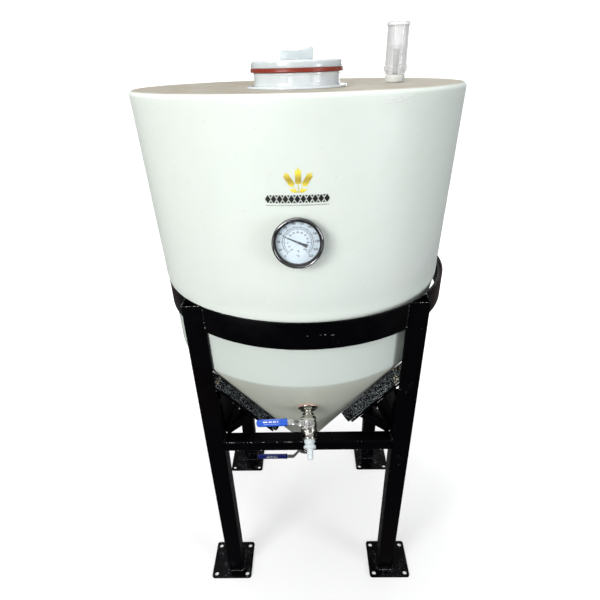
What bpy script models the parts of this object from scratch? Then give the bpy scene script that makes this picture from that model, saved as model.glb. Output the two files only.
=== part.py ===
"""Conical fermenter: a cone-bottomed plastic tank held in a welded steel stand.

Metres, +Z up. The front of the fermenter, with its thermometer and racking valve,
faces -Y. The origin is on the floor, under the middle of the whole object.
"""
import math

import bmesh
import bpy
from mathutils import Euler, Matrix, Vector

# ---------------------------------------------------------------- driving dimensions
GAP = 0.0003                # clearance between neighbouring pieces
ROUND_LARGE = 48            # facets round the tank, the neck, the fittings and small holes
ROUND_MEDIUM = 32
ROUND_SMALL = 20
ROUND_FINE = 14

# Stand
TUBE = 0.0381               # leg tube, outside
TUBE_WALL = 0.0020
LEG_OUTSIDE = 0.2138        # outer leg faces, from the middle of the stand
PLATE_SIZE = 0.102
PLATE_THICK = 0.005
PLATE_X = 0.2055            # plate centres, from the middle of the stand
PLATE_Y = 0.1820
PLATE_HOLE_R = 0.0052
PLATE_HOLE_INSET = 0.0110
RING_OUTER_R = 0.2790
RING_THICK = 0.0035
RING_TOP = 0.7853
RING_HEIGHT = 0.0499
BAR_HEIGHT = 0.0254
BAR_DEPTH = 0.0318
BAR_TOP = 0.4660
PAD_WIDTH = 0.036
PAD_THICK = {"left": 0.0215, "right": 0.0275}     # the tank leans on its left pads
PAD_LOW_R = {"left": 0.098, "right": 0.132}     # where each pad starts and ends on the cone
PAD_HIGH_R = {"left": 0.253, "right": 0.258}
ARM_WIDTH = 0.032
ARM_THICK = 0.0050
ARM_SETBACK = 0.006         # the pad's lower end overhangs the arm by this radius
ARM_TOP = 0.571
STRUT_WIDTH = 0.030
STRUT_THICK = 0.006
TIE = 0.020                 # height of the level tie that the strut is bent from

# Tank
TANK_X = -0.008             # the tank stands slightly left in its ring
WALL = 0.005
RIM_R = 0.2798
RIM_TOP = 1.1033
RIM_ROUND = 0.007
DRAFT = 0.0221              # the wall's taper, radius per height
SHOULDER_TOP = 0.800
SHOULDER_LOW = 0.787
BARREL_R = 0.2670           # below the shoulder, inside the ring
CONE_R = 0.2655             # where the cone starts
APEX_Z = 0.252
CONE_SLOPE = 1.488          # the cone's rise per radius
CONE_END = 0.300
OUTLET_R = 0.0230
OUTLET_LOW = 0.286
OUTLET_BORE_R = 0.0140
DECK_Z = 1.0982             # the sunken middle of the top
DECK_R = 0.100
MOUTH_R = 0.0700

# Neck, lid and airlock
FLANGE_R = 0.0864
FLANGE_THICK = 0.0035
NECK_R = 0.0740
NECK_BORE_R = 0.0665
NECK_TOP = 1.1210
SEAL_R = 0.0790
SEAL_TOP = 1.1270
LID_R = 0.0775
LID_THICK = 0.0102
PLUG_R = 0.0650
LUG_LENGTH = 0.0556
LUG_DEPTH = 0.0160
LUG_HEIGHT = 0.0205
AIRLOCK_X = 0.1673          # from the tank's axis
AIRLOCK_R = 0.0186
AIRLOCK_TOP = 1.1865
STOPPER_LOW = 1.1023
STOPPER_TOP = 1.1135

# Thermometer
DIAL_Z = 0.9194
CASE_R = 0.0370
CASE_DEPTH = 0.0130
CASE_START = 0.0040         # back of the case, from the tank's wall
PROBE_R = 0.0030
PROBE_LENGTH = 0.120

# Valves: each train's own axis runs downstream, with the ball at its zero
RACK_R = 0.2000             # the racking port's middle, on the cone
RACK_TURN = math.radians(2.6)
RACK_BALL = 0.0400          # ball centres, from the cone and the outlet
BALL_R = 0.0090
VALVE_BORE_R = 0.0060
BODY_START = -0.0200
BODY_END = 0.0270
BODY_R = 0.0155
BOSS_TOP = 0.0225
LEVER_LENGTH = {"racking": 0.0985, "dump": 0.1250}
LEVER_WIDTH = 0.0115
LEVER_THICK = 0.0025
LEVER_STEP = {"racking": 0.0140, "dump": 0.0220}    # how far the lever's bend lifts its grip
GRIP_LENGTH = {"racking": 0.0590, "dump": 0.0780}
DUMP_BALL_Z = 0.2500

# Derived places
CASE_FRONT = RIM_R - DRAFT * (RIM_TOP - DIAL_Z) + CASE_START + CASE_DEPTH
CENTRE_X = (RIM_R - TANK_X - RING_OUTER_R) / 2      # centre the whole object on the origin
CENTRE_Y = (CASE_FRONT - RIM_R) / 2
CONE_ANGLE = math.atan(CONE_SLOPE)
LEG_MIDDLE = LEG_OUTSIDE - TUBE / 2
LEG_INSIDE = LEG_OUTSIDE - TUBE
LEG_LOW = PLATE_THICK + GAP
TANK_COPE_R = 0.2748        # legs are cut back to this radius beside the tank
TANK_COPE_LOW = ARM_TOP + 0.002

SIDES = {"left": -1, "right": 1}
ENDS = {"front": -1, "rear": 1}
CORNERS = {f"{end}_{side}": (sx, sy) for end, sy in ENDS.items() for side, sx in SIDES.items()}


# ---------------------------------------------------------------- helpers
def clear_scene():
    for item in list(bpy.data.objects):
        bpy.data.objects.remove(item, do_unlink=True)


def material(name, colour, roughness, metallic=0.0, alpha=1.0):
    made = bpy.data.materials.get(name)
    if made is None:
        made = bpy.data.materials.new(name)
        made.use_nodes = True
        shader = made.node_tree.nodes["Principled BSDF"]
        shader.inputs["Base Color"].default_value = (*colour, 1.0)
        shader.inputs["Roughness"].default_value = roughness
        shader.inputs["Metallic"].default_value = metallic
        shader.inputs["Alpha"].default_value = alpha
    return made


def black_paint():
    return material("black_powder_coat", (0.010, 0.010, 0.012), 0.30)


def white_plastic():
    return material("tank_polyethylene", (0.80, 0.83, 0.76), 0.42)


def steel():
    return material("stainless_steel", (0.62, 0.60, 0.57), 0.28, 1.0)


def clear_plastic():
    return material("clear_plastic", (0.80, 0.82, 0.82), 0.08, 0.0, 0.35)


def empty(name, location=(0, 0, 0), rotation=None, parent=None):
    made = bpy.data.objects.new(name, None)
    bpy.context.collection.objects.link(made)
    made.location = location
    if rotation is not None:
        made.rotation_euler = rotation
    made.parent = parent
    return made


def place(bm, name, look=None, parent=None, location=(0, 0, 0), rotation=(0, 0, 0)):
    """Turn a finished bmesh into a smooth-shaded object."""
    bmesh.ops.recalc_face_normals(bm, faces=bm.faces)
    mesh = bpy.data.meshes.new(name)
    bm.to_mesh(mesh)
    bm.free()
    mesh.shade_smooth()
    mesh.set_sharp_from_angle(angle=math.radians(32))
    made = bpy.data.objects.new(name, mesh)
    bpy.context.collection.objects.link(made)
    made.location = location
    made.rotation_euler = rotation
    made.parent = parent
    if look is not None:
        mesh.materials.append(look)
    return made


def turned(outline, segments):
    """Spin an (radius, height) outline about Z; it is a loop unless it starts on the axis."""
    bm = bmesh.new()
    points = [bm.verts.new((radius, 0, height)) for radius, height in outline]
    for start, end in zip(points, points[1:]):
        bm.edges.new((start, end))
    if outline[0][0] > 0:
        bm.edges.new((points[-1], points[0]))
    geometry = bm.verts[:] + bm.edges[:]
    bmesh.ops.spin(bm, geom=geometry, cent=(0, 0, 0), axis=(0, 0, 1),
                   angle=2 * math.pi, steps=segments, use_merge=True)
    bmesh.ops.remove_doubles(bm, verts=bm.verts, dist=1e-6)
    return bm


def rod(radius, low, high, segments):
    return turned([(0, low), (radius, low), (radius, high), (0, high)], segments)


def extruded(outline, low, high):
    """A solid with a flat (x, y) outline, between two heights."""
    bm = bmesh.new()
    face = bm.faces.new([bm.verts.new((x, y, low)) for x, y in outline])
    grown = bmesh.ops.extrude_face_region(bm, geom=[face])
    lifted = [item for item in grown["geom"] if isinstance(item, bmesh.types.BMVert)]
    bmesh.ops.translate(bm, verts=lifted, vec=(0, 0, high - low))
    return bm


def rounded(width, depth, radius, steps=3):
    """The outline of a rectangle with round corners, centred on zero."""
    outline = []
    for quarter, (sx, sy) in enumerate(((1, 1), (-1, 1), (-1, -1), (1, -1))):
        for step in range(steps + 1):
            angle = math.pi / 2 * (quarter + step / steps)
            x = sx * (width / 2 - radius) + radius * math.cos(angle)
            y = sy * (depth / 2 - radius) + radius * math.sin(angle)
            outline.append((x, y))
    return outline


def hexagon(across_corners):
    return [(across_corners / 2 * math.cos(math.radians(60 * n)),
             across_corners / 2 * math.sin(math.radians(60 * n))) for n in range(6)]


def hollow(outer, inner, low, high):
    """A tube between two outlines that have the same number of points."""
    bm = bmesh.new()
    loops = [[bm.verts.new((x, y, z)) for x, y in outline]
             for outline, z in ((outer, low), (outer, high), (inner, high), (inner, low))]
    for first, second in zip(loops, loops[1:] + loops[:1]):
        for here in range(len(outer)):
            after = (here + 1) % len(outer)
            bm.faces.new((first[here], first[after], second[after], second[here]))
    return bm


def box_tube(width, depth, wall, low, high):
    outer = rounded(width, depth, 0.0030, 2)
    inner = rounded(width - 2 * wall, depth - 2 * wall, 0.0012, 2)
    return hollow(outer, inner, low, high)


def arc(centre, radius, start, end, steps=6):
    """Points of an arc in an outline, with its angles in degrees."""
    angles = [math.radians(start + (end - start) * step / steps) for step in range(steps + 1)]
    return [(centre[0] + radius * math.cos(a), centre[1] + radius * math.sin(a)) for a in angles]


def boolean(target, bm, name, operation="DIFFERENCE", parent=None,
            location=(0, 0, 0), rotation=(0, 0, 0)):
    """Cut target with the tool, or join them; the tool stays in the file as a guide."""
    tool = place(bm, name, None, parent, location, rotation)
    tool.hide_render = True
    tool.display_type = "WIRE"
    step = target.modifiers.new(name, "BOOLEAN")
    step.operation = operation
    step.solver = "EXACT"
    step.object = tool
    return tool


def cone_z(radius):
    return APEX_Z + CONE_SLOPE * radius


def wall_r(height):
    return RIM_R - DRAFT * (RIM_TOP - height)


# ---------------------------------------------------------------- stand
def corner_angle(sx, sy):
    """Direction and distance from the tank's axis to a leg's inner corner."""
    x = sx * LEG_INSIDE - TANK_X
    y = sy * LEG_INSIDE
    return math.atan2(y, x), math.hypot(x, y)


def make_foot_plate(corner, sx, sy, stand):
    plate = place(extruded(rounded(PLATE_SIZE, PLATE_SIZE, 0.006), 0, PLATE_THICK),
                  f"foot_plate_{corner}", black_paint(), stand, (sx * PLATE_X, sy * PLATE_Y, 0))
    reach = PLATE_SIZE / 2 - PLATE_HOLE_INSET
    for number, (hx, hy) in enumerate(((-1, -1), (1, -1), (1, 1), (-1, 1))):
        boolean(plate, rod(PLATE_HOLE_R, -0.01, 0.02, 16), f"cut_plate_{corner}_{number}",
                parent=plate, location=(hx * reach, hy * reach, 0))


def make_leg(corner, sx, sy, stand):
    """A square tube, open at the top and cut back where the ring and the tank pass."""
    leg = place(box_tube(TUBE, TUBE, TUBE_WALL, LEG_LOW, RING_TOP), f"leg_{corner}",
                black_paint(), stand, (sx * LEG_MIDDLE, sy * LEG_MIDDLE, 0))
    boolean(leg, rod(TANK_COPE_R, TANK_COPE_LOW, RING_TOP + 0.02, ROUND_LARGE),
            f"cut_leg_tank_{corner}", parent=stand)
    boolean(leg, rod(RING_OUTER_R + GAP, RING_TOP - RING_HEIGHT - GAP, RING_TOP + 0.03, ROUND_LARGE),
            f"cut_leg_ring_{corner}", parent=stand)


def make_ring(stand):
    inner = RING_OUTER_R - RING_THICK
    low = RING_TOP - RING_HEIGHT
    outline = [(RING_OUTER_R, RING_TOP), (RING_OUTER_R, low), (inner, low), (inner, RING_TOP)]
    place(turned(outline, ROUND_LARGE), "support_ring", black_paint(), stand)


def make_cross_bars(stand):
    span = 2 * (LEG_INSIDE - GAP)
    offset = LEG_OUTSIDE - BAR_DEPTH / 2
    height = BAR_TOP - BAR_HEIGHT / 2
    across = {"front": (0, -offset, 0), "rear": (0, offset, 0),
              "left": (-offset, 0, 90), "right": (offset, 0, 90)}
    for name, (x, y, turn) in across.items():
        bar = box_tube(BAR_HEIGHT, BAR_DEPTH, TUBE_WALL, -span / 2, span / 2)
        place(bar, f"cross_bar_{name}", black_paint(), stand, (x, y, height),
              (0, math.radians(90), math.radians(turn)))


def slope_point(radius, depth):
    """A point under the cone: where the wall has this radius, then out along its normal."""
    return (radius + depth * math.sin(CONE_ANGLE),
            cone_z(radius) - depth * math.cos(CONE_ANGLE))


def slope_radius(height, depth):
    """Where the line that runs this far under the cone passes this height."""
    return (height - APEX_Z + depth * math.cos(CONE_ANGLE)) / CONE_SLOPE + depth * math.sin(CONE_ANGLE)


def radial_slab(side_view, width):
    """Extrude a (radius, height) outline evenly to both sides of its own plane."""
    bm = extruded(side_view, -width / 2, width / 2)
    bmesh.ops.rotate(bm, verts=bm.verts, cent=(0, 0, 0),
                     matrix=Matrix.Rotation(math.radians(90), 3, "X"))
    return bm


def cut_round_leg(piece, corner, sx, sy, stand, label):
    size = TUBE + 2 * GAP
    boolean(piece, extruded(rounded(size, size, 0.003, 2), 0.4, TANK_COPE_LOW - GAP),
            f"cut_{label}_{corner}", parent=stand, location=(sx * LEG_MIDDLE, sy * LEG_MIDDLE, 0))


def make_cradle(corner, sx, sy, stand, tank):
    """A sloping arm with its foam pad, and the V of strut and level tie that props it."""
    angle, reach = corner_angle(sx, sy)
    turn = (0, 0, angle)
    side = "left" if sx < 0 else "right"
    low_r = PAD_LOW_R[side]
    high_r = PAD_HIGH_R[side]
    pad_top = 0.0005
    pad_low = pad_top + PAD_THICK[side]
    pad_view = [slope_point(low_r, pad_top), slope_point(high_r, pad_top),
                slope_point(high_r, pad_low), slope_point(low_r, pad_low)]
    place(radial_slab(pad_view, PAD_WIDTH), f"cradle_pad_{corner}",
          material("black_foam", (0.03, 0.03, 0.03), 0.95), tank, rotation=turn)

    arm_top = pad_low + GAP
    arm_low = arm_top + ARM_THICK
    upper_r = (ARM_TOP - APEX_Z + arm_top * math.cos(CONE_ANGLE)) / CONE_SLOPE
    lower_r = (ARM_TOP - APEX_Z + arm_low * math.cos(CONE_ANGLE)) / CONE_SLOPE
    arm_start = low_r + ARM_SETBACK
    arm_view = [slope_point(arm_start, arm_top), slope_point(upper_r, arm_top),
                slope_point(lower_r, arm_low), slope_point(arm_start, arm_low)]
    arm = place(radial_slab(arm_view, ARM_WIDTH), f"cradle_arm_{corner}", black_paint(),
                tank, rotation=turn)
    cut_round_leg(arm, corner, sx, sy, stand, "arm")

    under = arm_low + GAP
    tie_low = BAR_TOP + GAP
    tie_top = tie_low + TIE
    top_inner = reach - 0.031 - under * math.sin(CONE_ANGLE)
    foot = reach + 0.004
    strut_view = [slope_point(top_inner, under), slope_point(top_inner + STRUT_THICK, under),
                  (foot, tie_top), (foot, tie_low), (slope_radius(tie_low, under), tie_low),
                  (slope_radius(tie_top, under), tie_top), (foot - STRUT_THICK, tie_top)]
    strut = place(radial_slab(strut_view, STRUT_WIDTH), f"arm_strut_{corner}", black_paint(),
                  tank, rotation=turn)
    cut_round_leg(strut, corner, sx, sy, stand, "strut")


def make_stand(stand, tank):
    make_ring(stand)
    make_cross_bars(stand)
    for corner, (sx, sy) in CORNERS.items():
        make_foot_plate(corner, sx, sy, stand)
        make_leg(corner, sx, sy, stand)
        make_cradle(corner, sx, sy, stand, tank)


# ---------------------------------------------------------------- tank
def tank_outline():
    """Outer surface from the mouth down to the outlet, then the inner surface back up."""
    rise = RIM_TOP - DECK_Z
    outer = [(MOUTH_R, DECK_Z), (DECK_R, DECK_Z), (DECK_R + 0.5 * (RIM_R - DECK_R),
                                                    DECK_Z + 0.72 * rise)]
    outer += arc((RIM_R - RIM_ROUND, RIM_TOP - RIM_ROUND), RIM_ROUND, 90, 0, 5)
    outer += [(wall_r(0.97), 0.97), (wall_r(SHOULDER_TOP), SHOULDER_TOP)]
    drop = wall_r(SHOULDER_TOP) - BARREL_R
    for step in (0.25, 0.5, 0.75):
        ease = step * step * (3 - 2 * step)
        outer.append((wall_r(SHOULDER_TOP) - drop * ease,
                      SHOULDER_TOP - step * (SHOULDER_TOP - SHOULDER_LOW)))
    outer += [(BARREL_R, SHOULDER_LOW), (CONE_R, cone_z(CONE_R) + 0.006),
              (CONE_R - 0.0006, cone_z(CONE_R) + 0.001), (CONE_R - 0.0035, cone_z(CONE_R - 0.0035))]
    end_r = (CONE_END - APEX_Z) / CONE_SLOPE
    outer += [(end_r, CONE_END), (OUTLET_R, CONE_END - 0.004), (OUTLET_R, OUTLET_LOW)]
    side = WALL / math.sin(CONE_ANGLE)
    inner = [(OUTLET_BORE_R, OUTLET_LOW), (OUTLET_BORE_R, cone_z(OUTLET_BORE_R + side)),
             (CONE_R - WALL, cone_z(CONE_R - WALL + side)), (BARREL_R - WALL, SHOULDER_LOW),
             (wall_r(SHOULDER_TOP) - WALL, SHOULDER_TOP),
             (RIM_R - WALL - 0.0002, RIM_TOP - RIM_ROUND - 0.002),
             (RIM_R - RIM_ROUND - 0.002, RIM_TOP - WALL - 0.0006),
             (DECK_R, DECK_Z - WALL), (MOUTH_R, DECK_Z - WALL)]
    return outer + inner


def make_tank(tank, rack, dial):
    shell = place(turned(tank_outline(), ROUND_LARGE), "tank_shell", white_plastic(), tank)
    boolean(shell, rod(0.0125, DECK_Z - 0.02, RIM_TOP + 0.02, ROUND_FINE), "cut_stopper_hole",
            parent=tank, location=(AIRLOCK_X, 0, 0))
    boolean(shell, rod(0.0060, -0.03, 0.03, ROUND_FINE), "cut_thermometer_hole", parent=dial)
    boolean(shell, rod(0.0105, -0.03, 0.03, ROUND_FINE), "cut_racking_hole", parent=rack)


def make_neck(tank):
    """The flanged collar that carries the lid, with a spigot down into the mouth."""
    seat = DECK_Z + GAP
    spigot_r = MOUTH_R - 0.0005
    outline = [(NECK_BORE_R, NECK_TOP), (NECK_R, NECK_TOP), (NECK_R, seat + FLANGE_THICK),
               (FLANGE_R, seat + FLANGE_THICK), (FLANGE_R, seat), (spigot_r, seat),
               (spigot_r, DECK_Z - 0.012), (NECK_BORE_R, DECK_Z - 0.012)]
    place(turned(outline, ROUND_MEDIUM), "neck_collar", material("neck_white", (0.82, 0.83, 0.80), 0.35), tank)


def lug_outline():
    """Side view of the lid's finger grip: two horns with a hollow between them."""
    half = LUG_LENGTH / 2
    horn = 0.011
    span = half - horn
    sag = 0.0045
    radius = (span * span + sag * sag) / (2 * sag)
    sweep = math.degrees(math.asin(span / radius))
    hollow_top = arc((0, LUG_HEIGHT + radius - sag), radius, 270 + sweep, 270 - sweep, 8)
    return ([(-half, -0.001), (half, -0.001), (half, LUG_HEIGHT - 0.003),
             (half - 0.003, LUG_HEIGHT)] + hollow_top +
            [(-half + 0.003, LUG_HEIGHT), (-half, LUG_HEIGHT - 0.003)])


def make_lid(tank):
    base = SEAL_TOP + GAP
    top = base + LID_THICK
    lid_white = material("lid_white", (0.82, 0.83, 0.82), 0.35)
    outline = [(0, top), (LID_R - 0.004, top), (LID_R, top - 0.004), (LID_R, base),
               (PLUG_R, base), (PLUG_R, base - 0.022), (PLUG_R - 0.004, base - 0.022),
               (PLUG_R - 0.004, base + 0.003), (0, base + 0.003)]
    lid = place(turned(outline, ROUND_MEDIUM), "lid_cap", lid_white, tank)
    boolean(lid, radial_slab(lug_outline(), LUG_DEPTH), "join_lid_lug", "UNION", tank,
            (0, 0, top))
    seal = [(SEAL_R, NECK_TOP + GAP), (SEAL_R, SEAL_TOP), (PLUG_R + GAP, SEAL_TOP),
            (PLUG_R + GAP, NECK_TOP + GAP)]
    place(turned(seal, ROUND_MEDIUM), "lid_seal", material("red_silicone", (0.33, 0.03, 0.02), 0.5), tank)


def make_airlock(tank):
    at = (AIRLOCK_X, 0, 0)
    stem_r = 0.0045
    stem_bore = 0.0030
    stopper = [(stem_r + GAP, STOPPER_TOP), (0.0150, STOPPER_TOP), (0.0165, STOPPER_TOP - 0.0020),
               (0.0152, STOPPER_LOW), (0.0122, STOPPER_LOW), (0.0112, STOPPER_LOW - 0.015),
               (stem_r + GAP, STOPPER_LOW - 0.015)]
    place(turned(stopper, ROUND_SMALL), "airlock_stopper", material("stopper_white", (0.86, 0.86, 0.84), 0.45),
          tank, at)

    base = STOPPER_TOP + GAP
    rim = AIRLOCK_TOP - 0.0045
    thick = 0.0015
    body = [(AIRLOCK_R - 0.0012, rim), (AIRLOCK_R - 0.0006, base + 0.0125),
            (AIRLOCK_R + 0.0008, base + 0.0120), (AIRLOCK_R + 0.0006, base + 0.0060),
            (AIRLOCK_R - 0.0030, base), (stem_r, base), (stem_r, STOPPER_LOW - 0.020),
            (stem_bore, STOPPER_LOW - 0.020), (stem_bore, base + 0.036), (stem_r, base + 0.036),
            (stem_r, base + thick), (AIRLOCK_R - 0.0040, base + thick),
            (AIRLOCK_R - 0.0012, base + 0.0065), (AIRLOCK_R - 0.0012 - thick, rim)]
    place(turned(body, ROUND_SMALL), "airlock_body", clear_plastic(), tank, at)

    bell_r = 0.0120
    bell_low = base + 0.0060
    bell_top = base + 0.0420
    bell = [(0, bell_top), (bell_r - 0.002, bell_top), (bell_r, bell_top - 0.002),
            (bell_r, bell_low), (bell_r - 0.0012, bell_low), (bell_r - 0.0012, bell_top - 0.0014),
            (0, bell_top - 0.0014)]
    place(turned(bell, ROUND_SMALL), "airlock_bell", clear_plastic(), tank, at)

    cap = [(0, AIRLOCK_TOP), (AIRLOCK_R - 0.0005, AIRLOCK_TOP), (AIRLOCK_R, AIRLOCK_TOP - 0.0008),
           (AIRLOCK_R, rim - 0.0010), (AIRLOCK_R - 0.0009, rim - 0.0010),
           (AIRLOCK_R - 0.0009, rim + GAP), (0, rim + GAP)]
    place(turned(cap, ROUND_SMALL), "airlock_cap", clear_plastic(), tank, at)


# ---------------------------------------------------------------- thermometer
def make_thermometer(dial):
    """Built along its own axis, which points out of the tank's front wall."""
    back = CASE_START
    front = CASE_START + CASE_DEPTH
    floor = back + 0.0020
    bezel_r = CASE_R - 0.0045
    case = [(0.0050, back), (CASE_R - 0.006, back), (CASE_R - 0.002, back + 0.003),
            (CASE_R - 0.002, back + 0.0060), (CASE_R, back + 0.0075), (CASE_R, front - 0.0020),
            (CASE_R - 0.0020, front), (bezel_r, front - 0.0012), (bezel_r, front - 0.0032),
            (CASE_R - 0.0030, front - 0.0032), (CASE_R - 0.0030, floor), (0.0050, floor)]
    place(turned(case, ROUND_MEDIUM), "thermometer_case", steel(), dial)

    glass_top = front - 0.0032 - GAP
    glass_r = CASE_R - 0.0030 - GAP
    glass = rod(glass_r, glass_top - 0.0020, glass_top, ROUND_MEDIUM)
    place(glass, "thermometer_lens", material("lens_glass", (0.9, 0.9, 0.9), 0.03, 0.0, 0.2), dial)

    face_low = floor + GAP
    face_r = CASE_R - 0.0030 - GAP
    face = [(0.0020, face_low), (face_r, face_low), (face_r, face_low + 0.0010),
            (0.0020, face_low + 0.0010)]
    place(turned(face, ROUND_MEDIUM), "thermometer_dial", material("dial_white", (0.85, 0.86, 0.84), 0.5), dial)

    hand_low = face_low + 0.0010 + GAP
    hand = place(extruded([(-0.0220, 0), (-0.0050, 0.0009), (0, 0.0022), (0.0055, 0.0016),
                           (0.0135, 0.0019), (0.0135, -0.0019), (0.0055, -0.0016),
                           (0, -0.0022), (-0.0050, -0.0009)],
                          hand_low, hand_low + 0.0006),
                 "thermometer_pointer", material("pointer_black", (0.01, 0.01, 0.01), 0.4), dial)
    hand.rotation_euler = (0, 0, math.radians(-24))

    washer = [(0.0058, 0.0008), (0.0130, 0.0008), (0.0130, back - GAP), (0.0058, back - GAP)]
    place(turned(washer, ROUND_SMALL), "thermometer_washer", material("black_rubber", (0.02, 0.02, 0.02), 0.7),
          dial)

    thread_end = -0.018
    probe = [(0, floor - 0.0004), (0.0047, floor - 0.0004), (0.0047, back - 0.0002),
             (0.0055, back - 0.0002), (0.0055, thread_end), (PROBE_R, thread_end),
             (PROBE_R, -PROBE_LENGTH + 0.002), (0, -PROBE_LENGTH)]
    place(turned(probe, ROUND_FINE), "thermometer_probe", steel(), dial)

    nut_start = -0.0064
    nut = place(extruded(hexagon(0.0200), nut_start - 0.006, nut_start), "thermometer_nut",
                steel(), dial)
    boolean(nut, rod(0.0058, -0.05, 0.05, ROUND_FINE), "cut_thermometer_nut", parent=dial)


# ---------------------------------------------------------------- valves
def hex_with_hole(name, across, low, high, hole_r, look, parent):
    """A hexagon round the train's axis; its hole is cut right through."""
    made = place(extruded(hexagon(across), low, high), name, look, parent)
    boolean(made, rod(hole_r, low - 0.01, high + 0.01, ROUND_FINE), f"cut_{name}", parent=parent)
    return made


def make_valve_body(prefix, valve):
    """A two-piece body: barrel, hexagon ends and the gland boss for the stem."""
    barrel = [(0, BODY_START), (0.0125, BODY_START), (0.0125, -0.0140), (BODY_R, -0.0110),
              (BODY_R, 0.0110), (0.0135, 0.0140), (0.0125, BODY_END), (0, BODY_END)]
    body = place(turned(barrel, ROUND_SMALL), f"{prefix}_valve_body", steel(), valve)
    boolean(body, extruded(hexagon(0.0310), BODY_START + 0.0015, -0.0115), f"join_{prefix}_inlet_hex",
            "UNION", valve)
    boolean(body, extruded(hexagon(0.0300), 0.0150, BODY_END - 0.0015), f"join_{prefix}_outlet_hex",
            "UNION", valve)
    stem_turn = (math.radians(-90), 0, 0)
    boolean(body, rod(0.0075, 0, BOSS_TOP, ROUND_FINE), f"join_{prefix}_boss", "UNION", valve,
            rotation=stem_turn)
    boolean(body, rod(VALVE_BORE_R, -0.04, 0.04, ROUND_FINE), f"cut_{prefix}_bore", parent=valve)
    chamber = bmesh.new()
    bmesh.ops.create_uvsphere(chamber, u_segments=20, v_segments=10, radius=BALL_R + 0.0005)
    boolean(body, chamber, f"cut_{prefix}_chamber", parent=valve)
    boolean(body, rod(0.0034, 0, 0.04, ROUND_FINE), f"cut_{prefix}_gland", parent=valve,
            rotation=stem_turn)


def make_ball(prefix, valve):
    """The ball is turned about its own bore, which lies across the flow when shut."""
    edge = math.degrees(math.acos((VALVE_BORE_R - 0.0004) / BALL_R))
    place(turned(arc((0, 0), BALL_R, edge, -edge, 10), ROUND_SMALL), f"{prefix}_valve_ball", steel(), valve,
          rotation=(0, math.radians(90), 0))


def lever_path(prefix):
    """Height of the lever's underside along its length: flat, a bend, flat again."""
    low = BOSS_TOP + GAP
    high = low + LEVER_STEP[prefix]
    return [(0.0085, low), (-0.0150, low), (-0.0330, high), (-LEVER_LENGTH[prefix] + 0.002, high)]


def lever_slab(prefix, width, extra=0.0, start=0):
    """The bent strap as a solid; extra thickens it all round, for the grip's pocket."""
    path = lever_path(prefix)[start:]
    under = [(x, y - extra) for x, y in path]
    over = [(x, y + LEVER_THICK + extra) for x, y in reversed(path)]
    return extruded(under + over, -width / 2 - extra, width / 2 + extra)


def make_lever(prefix, valve):
    """Lever, grip, stem and nut; the lever points to -X, across the flow, when shut."""
    plate_low = BOSS_TOP + GAP
    plate_top = plate_low + LEVER_THICK
    stem_turn = (math.radians(-90), 0, 0)
    stem = [(0, BALL_R + GAP), (0.0030, BALL_R + GAP), (0.0030, plate_top + 0.0045),
            (0, plate_top + 0.0045)]
    place(turned(stem, ROUND_FINE), f"{prefix}_valve_stem", steel(), valve, rotation=stem_turn)

    lever = place(lever_slab(prefix, LEVER_WIDTH), f"{prefix}_lever", steel(), valve)
    boolean(lever, rod(0.0033, 0, 0.05, ROUND_FINE), f"cut_{prefix}_lever", parent=valve, rotation=stem_turn)

    nut = place(extruded(hexagon(0.0120), plate_top + GAP, plate_top + 0.0038), f"{prefix}_lever_nut",
                steel(), valve, rotation=stem_turn)
    boolean(nut, rod(0.0033, 0, 0.05, ROUND_FINE), f"cut_{prefix}_nut", parent=valve, rotation=stem_turn)

    length = GRIP_LENGTH[prefix]
    grip_middle = -LEVER_LENGTH[prefix] + length / 2 - 0.0015
    grip_height = plate_low + LEVER_STEP[prefix] + LEVER_THICK / 2
    grip = place(extruded(rounded(length, 0.0135, 0.0045, 4), -0.0032, 0.0032), f"{prefix}_grip",
                 material("blue_vinyl", (0.02, 0.09, 0.55), 0.35), valve,
                 (grip_middle, grip_height, 0), stem_turn)
    pocket = lever_slab(prefix, LEVER_WIDTH, GAP, 2)
    boolean(grip, pocket, f"cut_{prefix}_grip", parent=valve)


def make_valve(prefix, valve):
    make_valve_body(prefix, valve)
    make_ball(prefix, valve)
    make_lever(prefix, valve)


def swept_tube(path, outer, inner, segments):
    """A round pipe along a path that stays in the YZ plane."""
    bm = bmesh.new()
    rings = {outer: [], inner: []}
    for place_no, point in enumerate(path):
        before = path[max(place_no - 1, 0)]
        after = path[min(place_no + 1, len(path) - 1)]
        along = (after - before).normalized()
        side = Vector((1, 0, 0))
        up = along.cross(side)
        for radius, made in rings.items():
            made.append([bm.verts.new(point + radius * (math.cos(a) * side + math.sin(a) * up))
                         for a in (2 * math.pi * n / segments for n in range(segments))])
    loops = rings[outer] + rings[inner][::-1]
    for first, second in zip(loops, loops[1:] + loops[:1]):
        for here in range(segments):
            after = (here + 1) % segments
            bm.faces.new((first[here], first[after], second[after], second[here]))
    return bm


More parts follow.
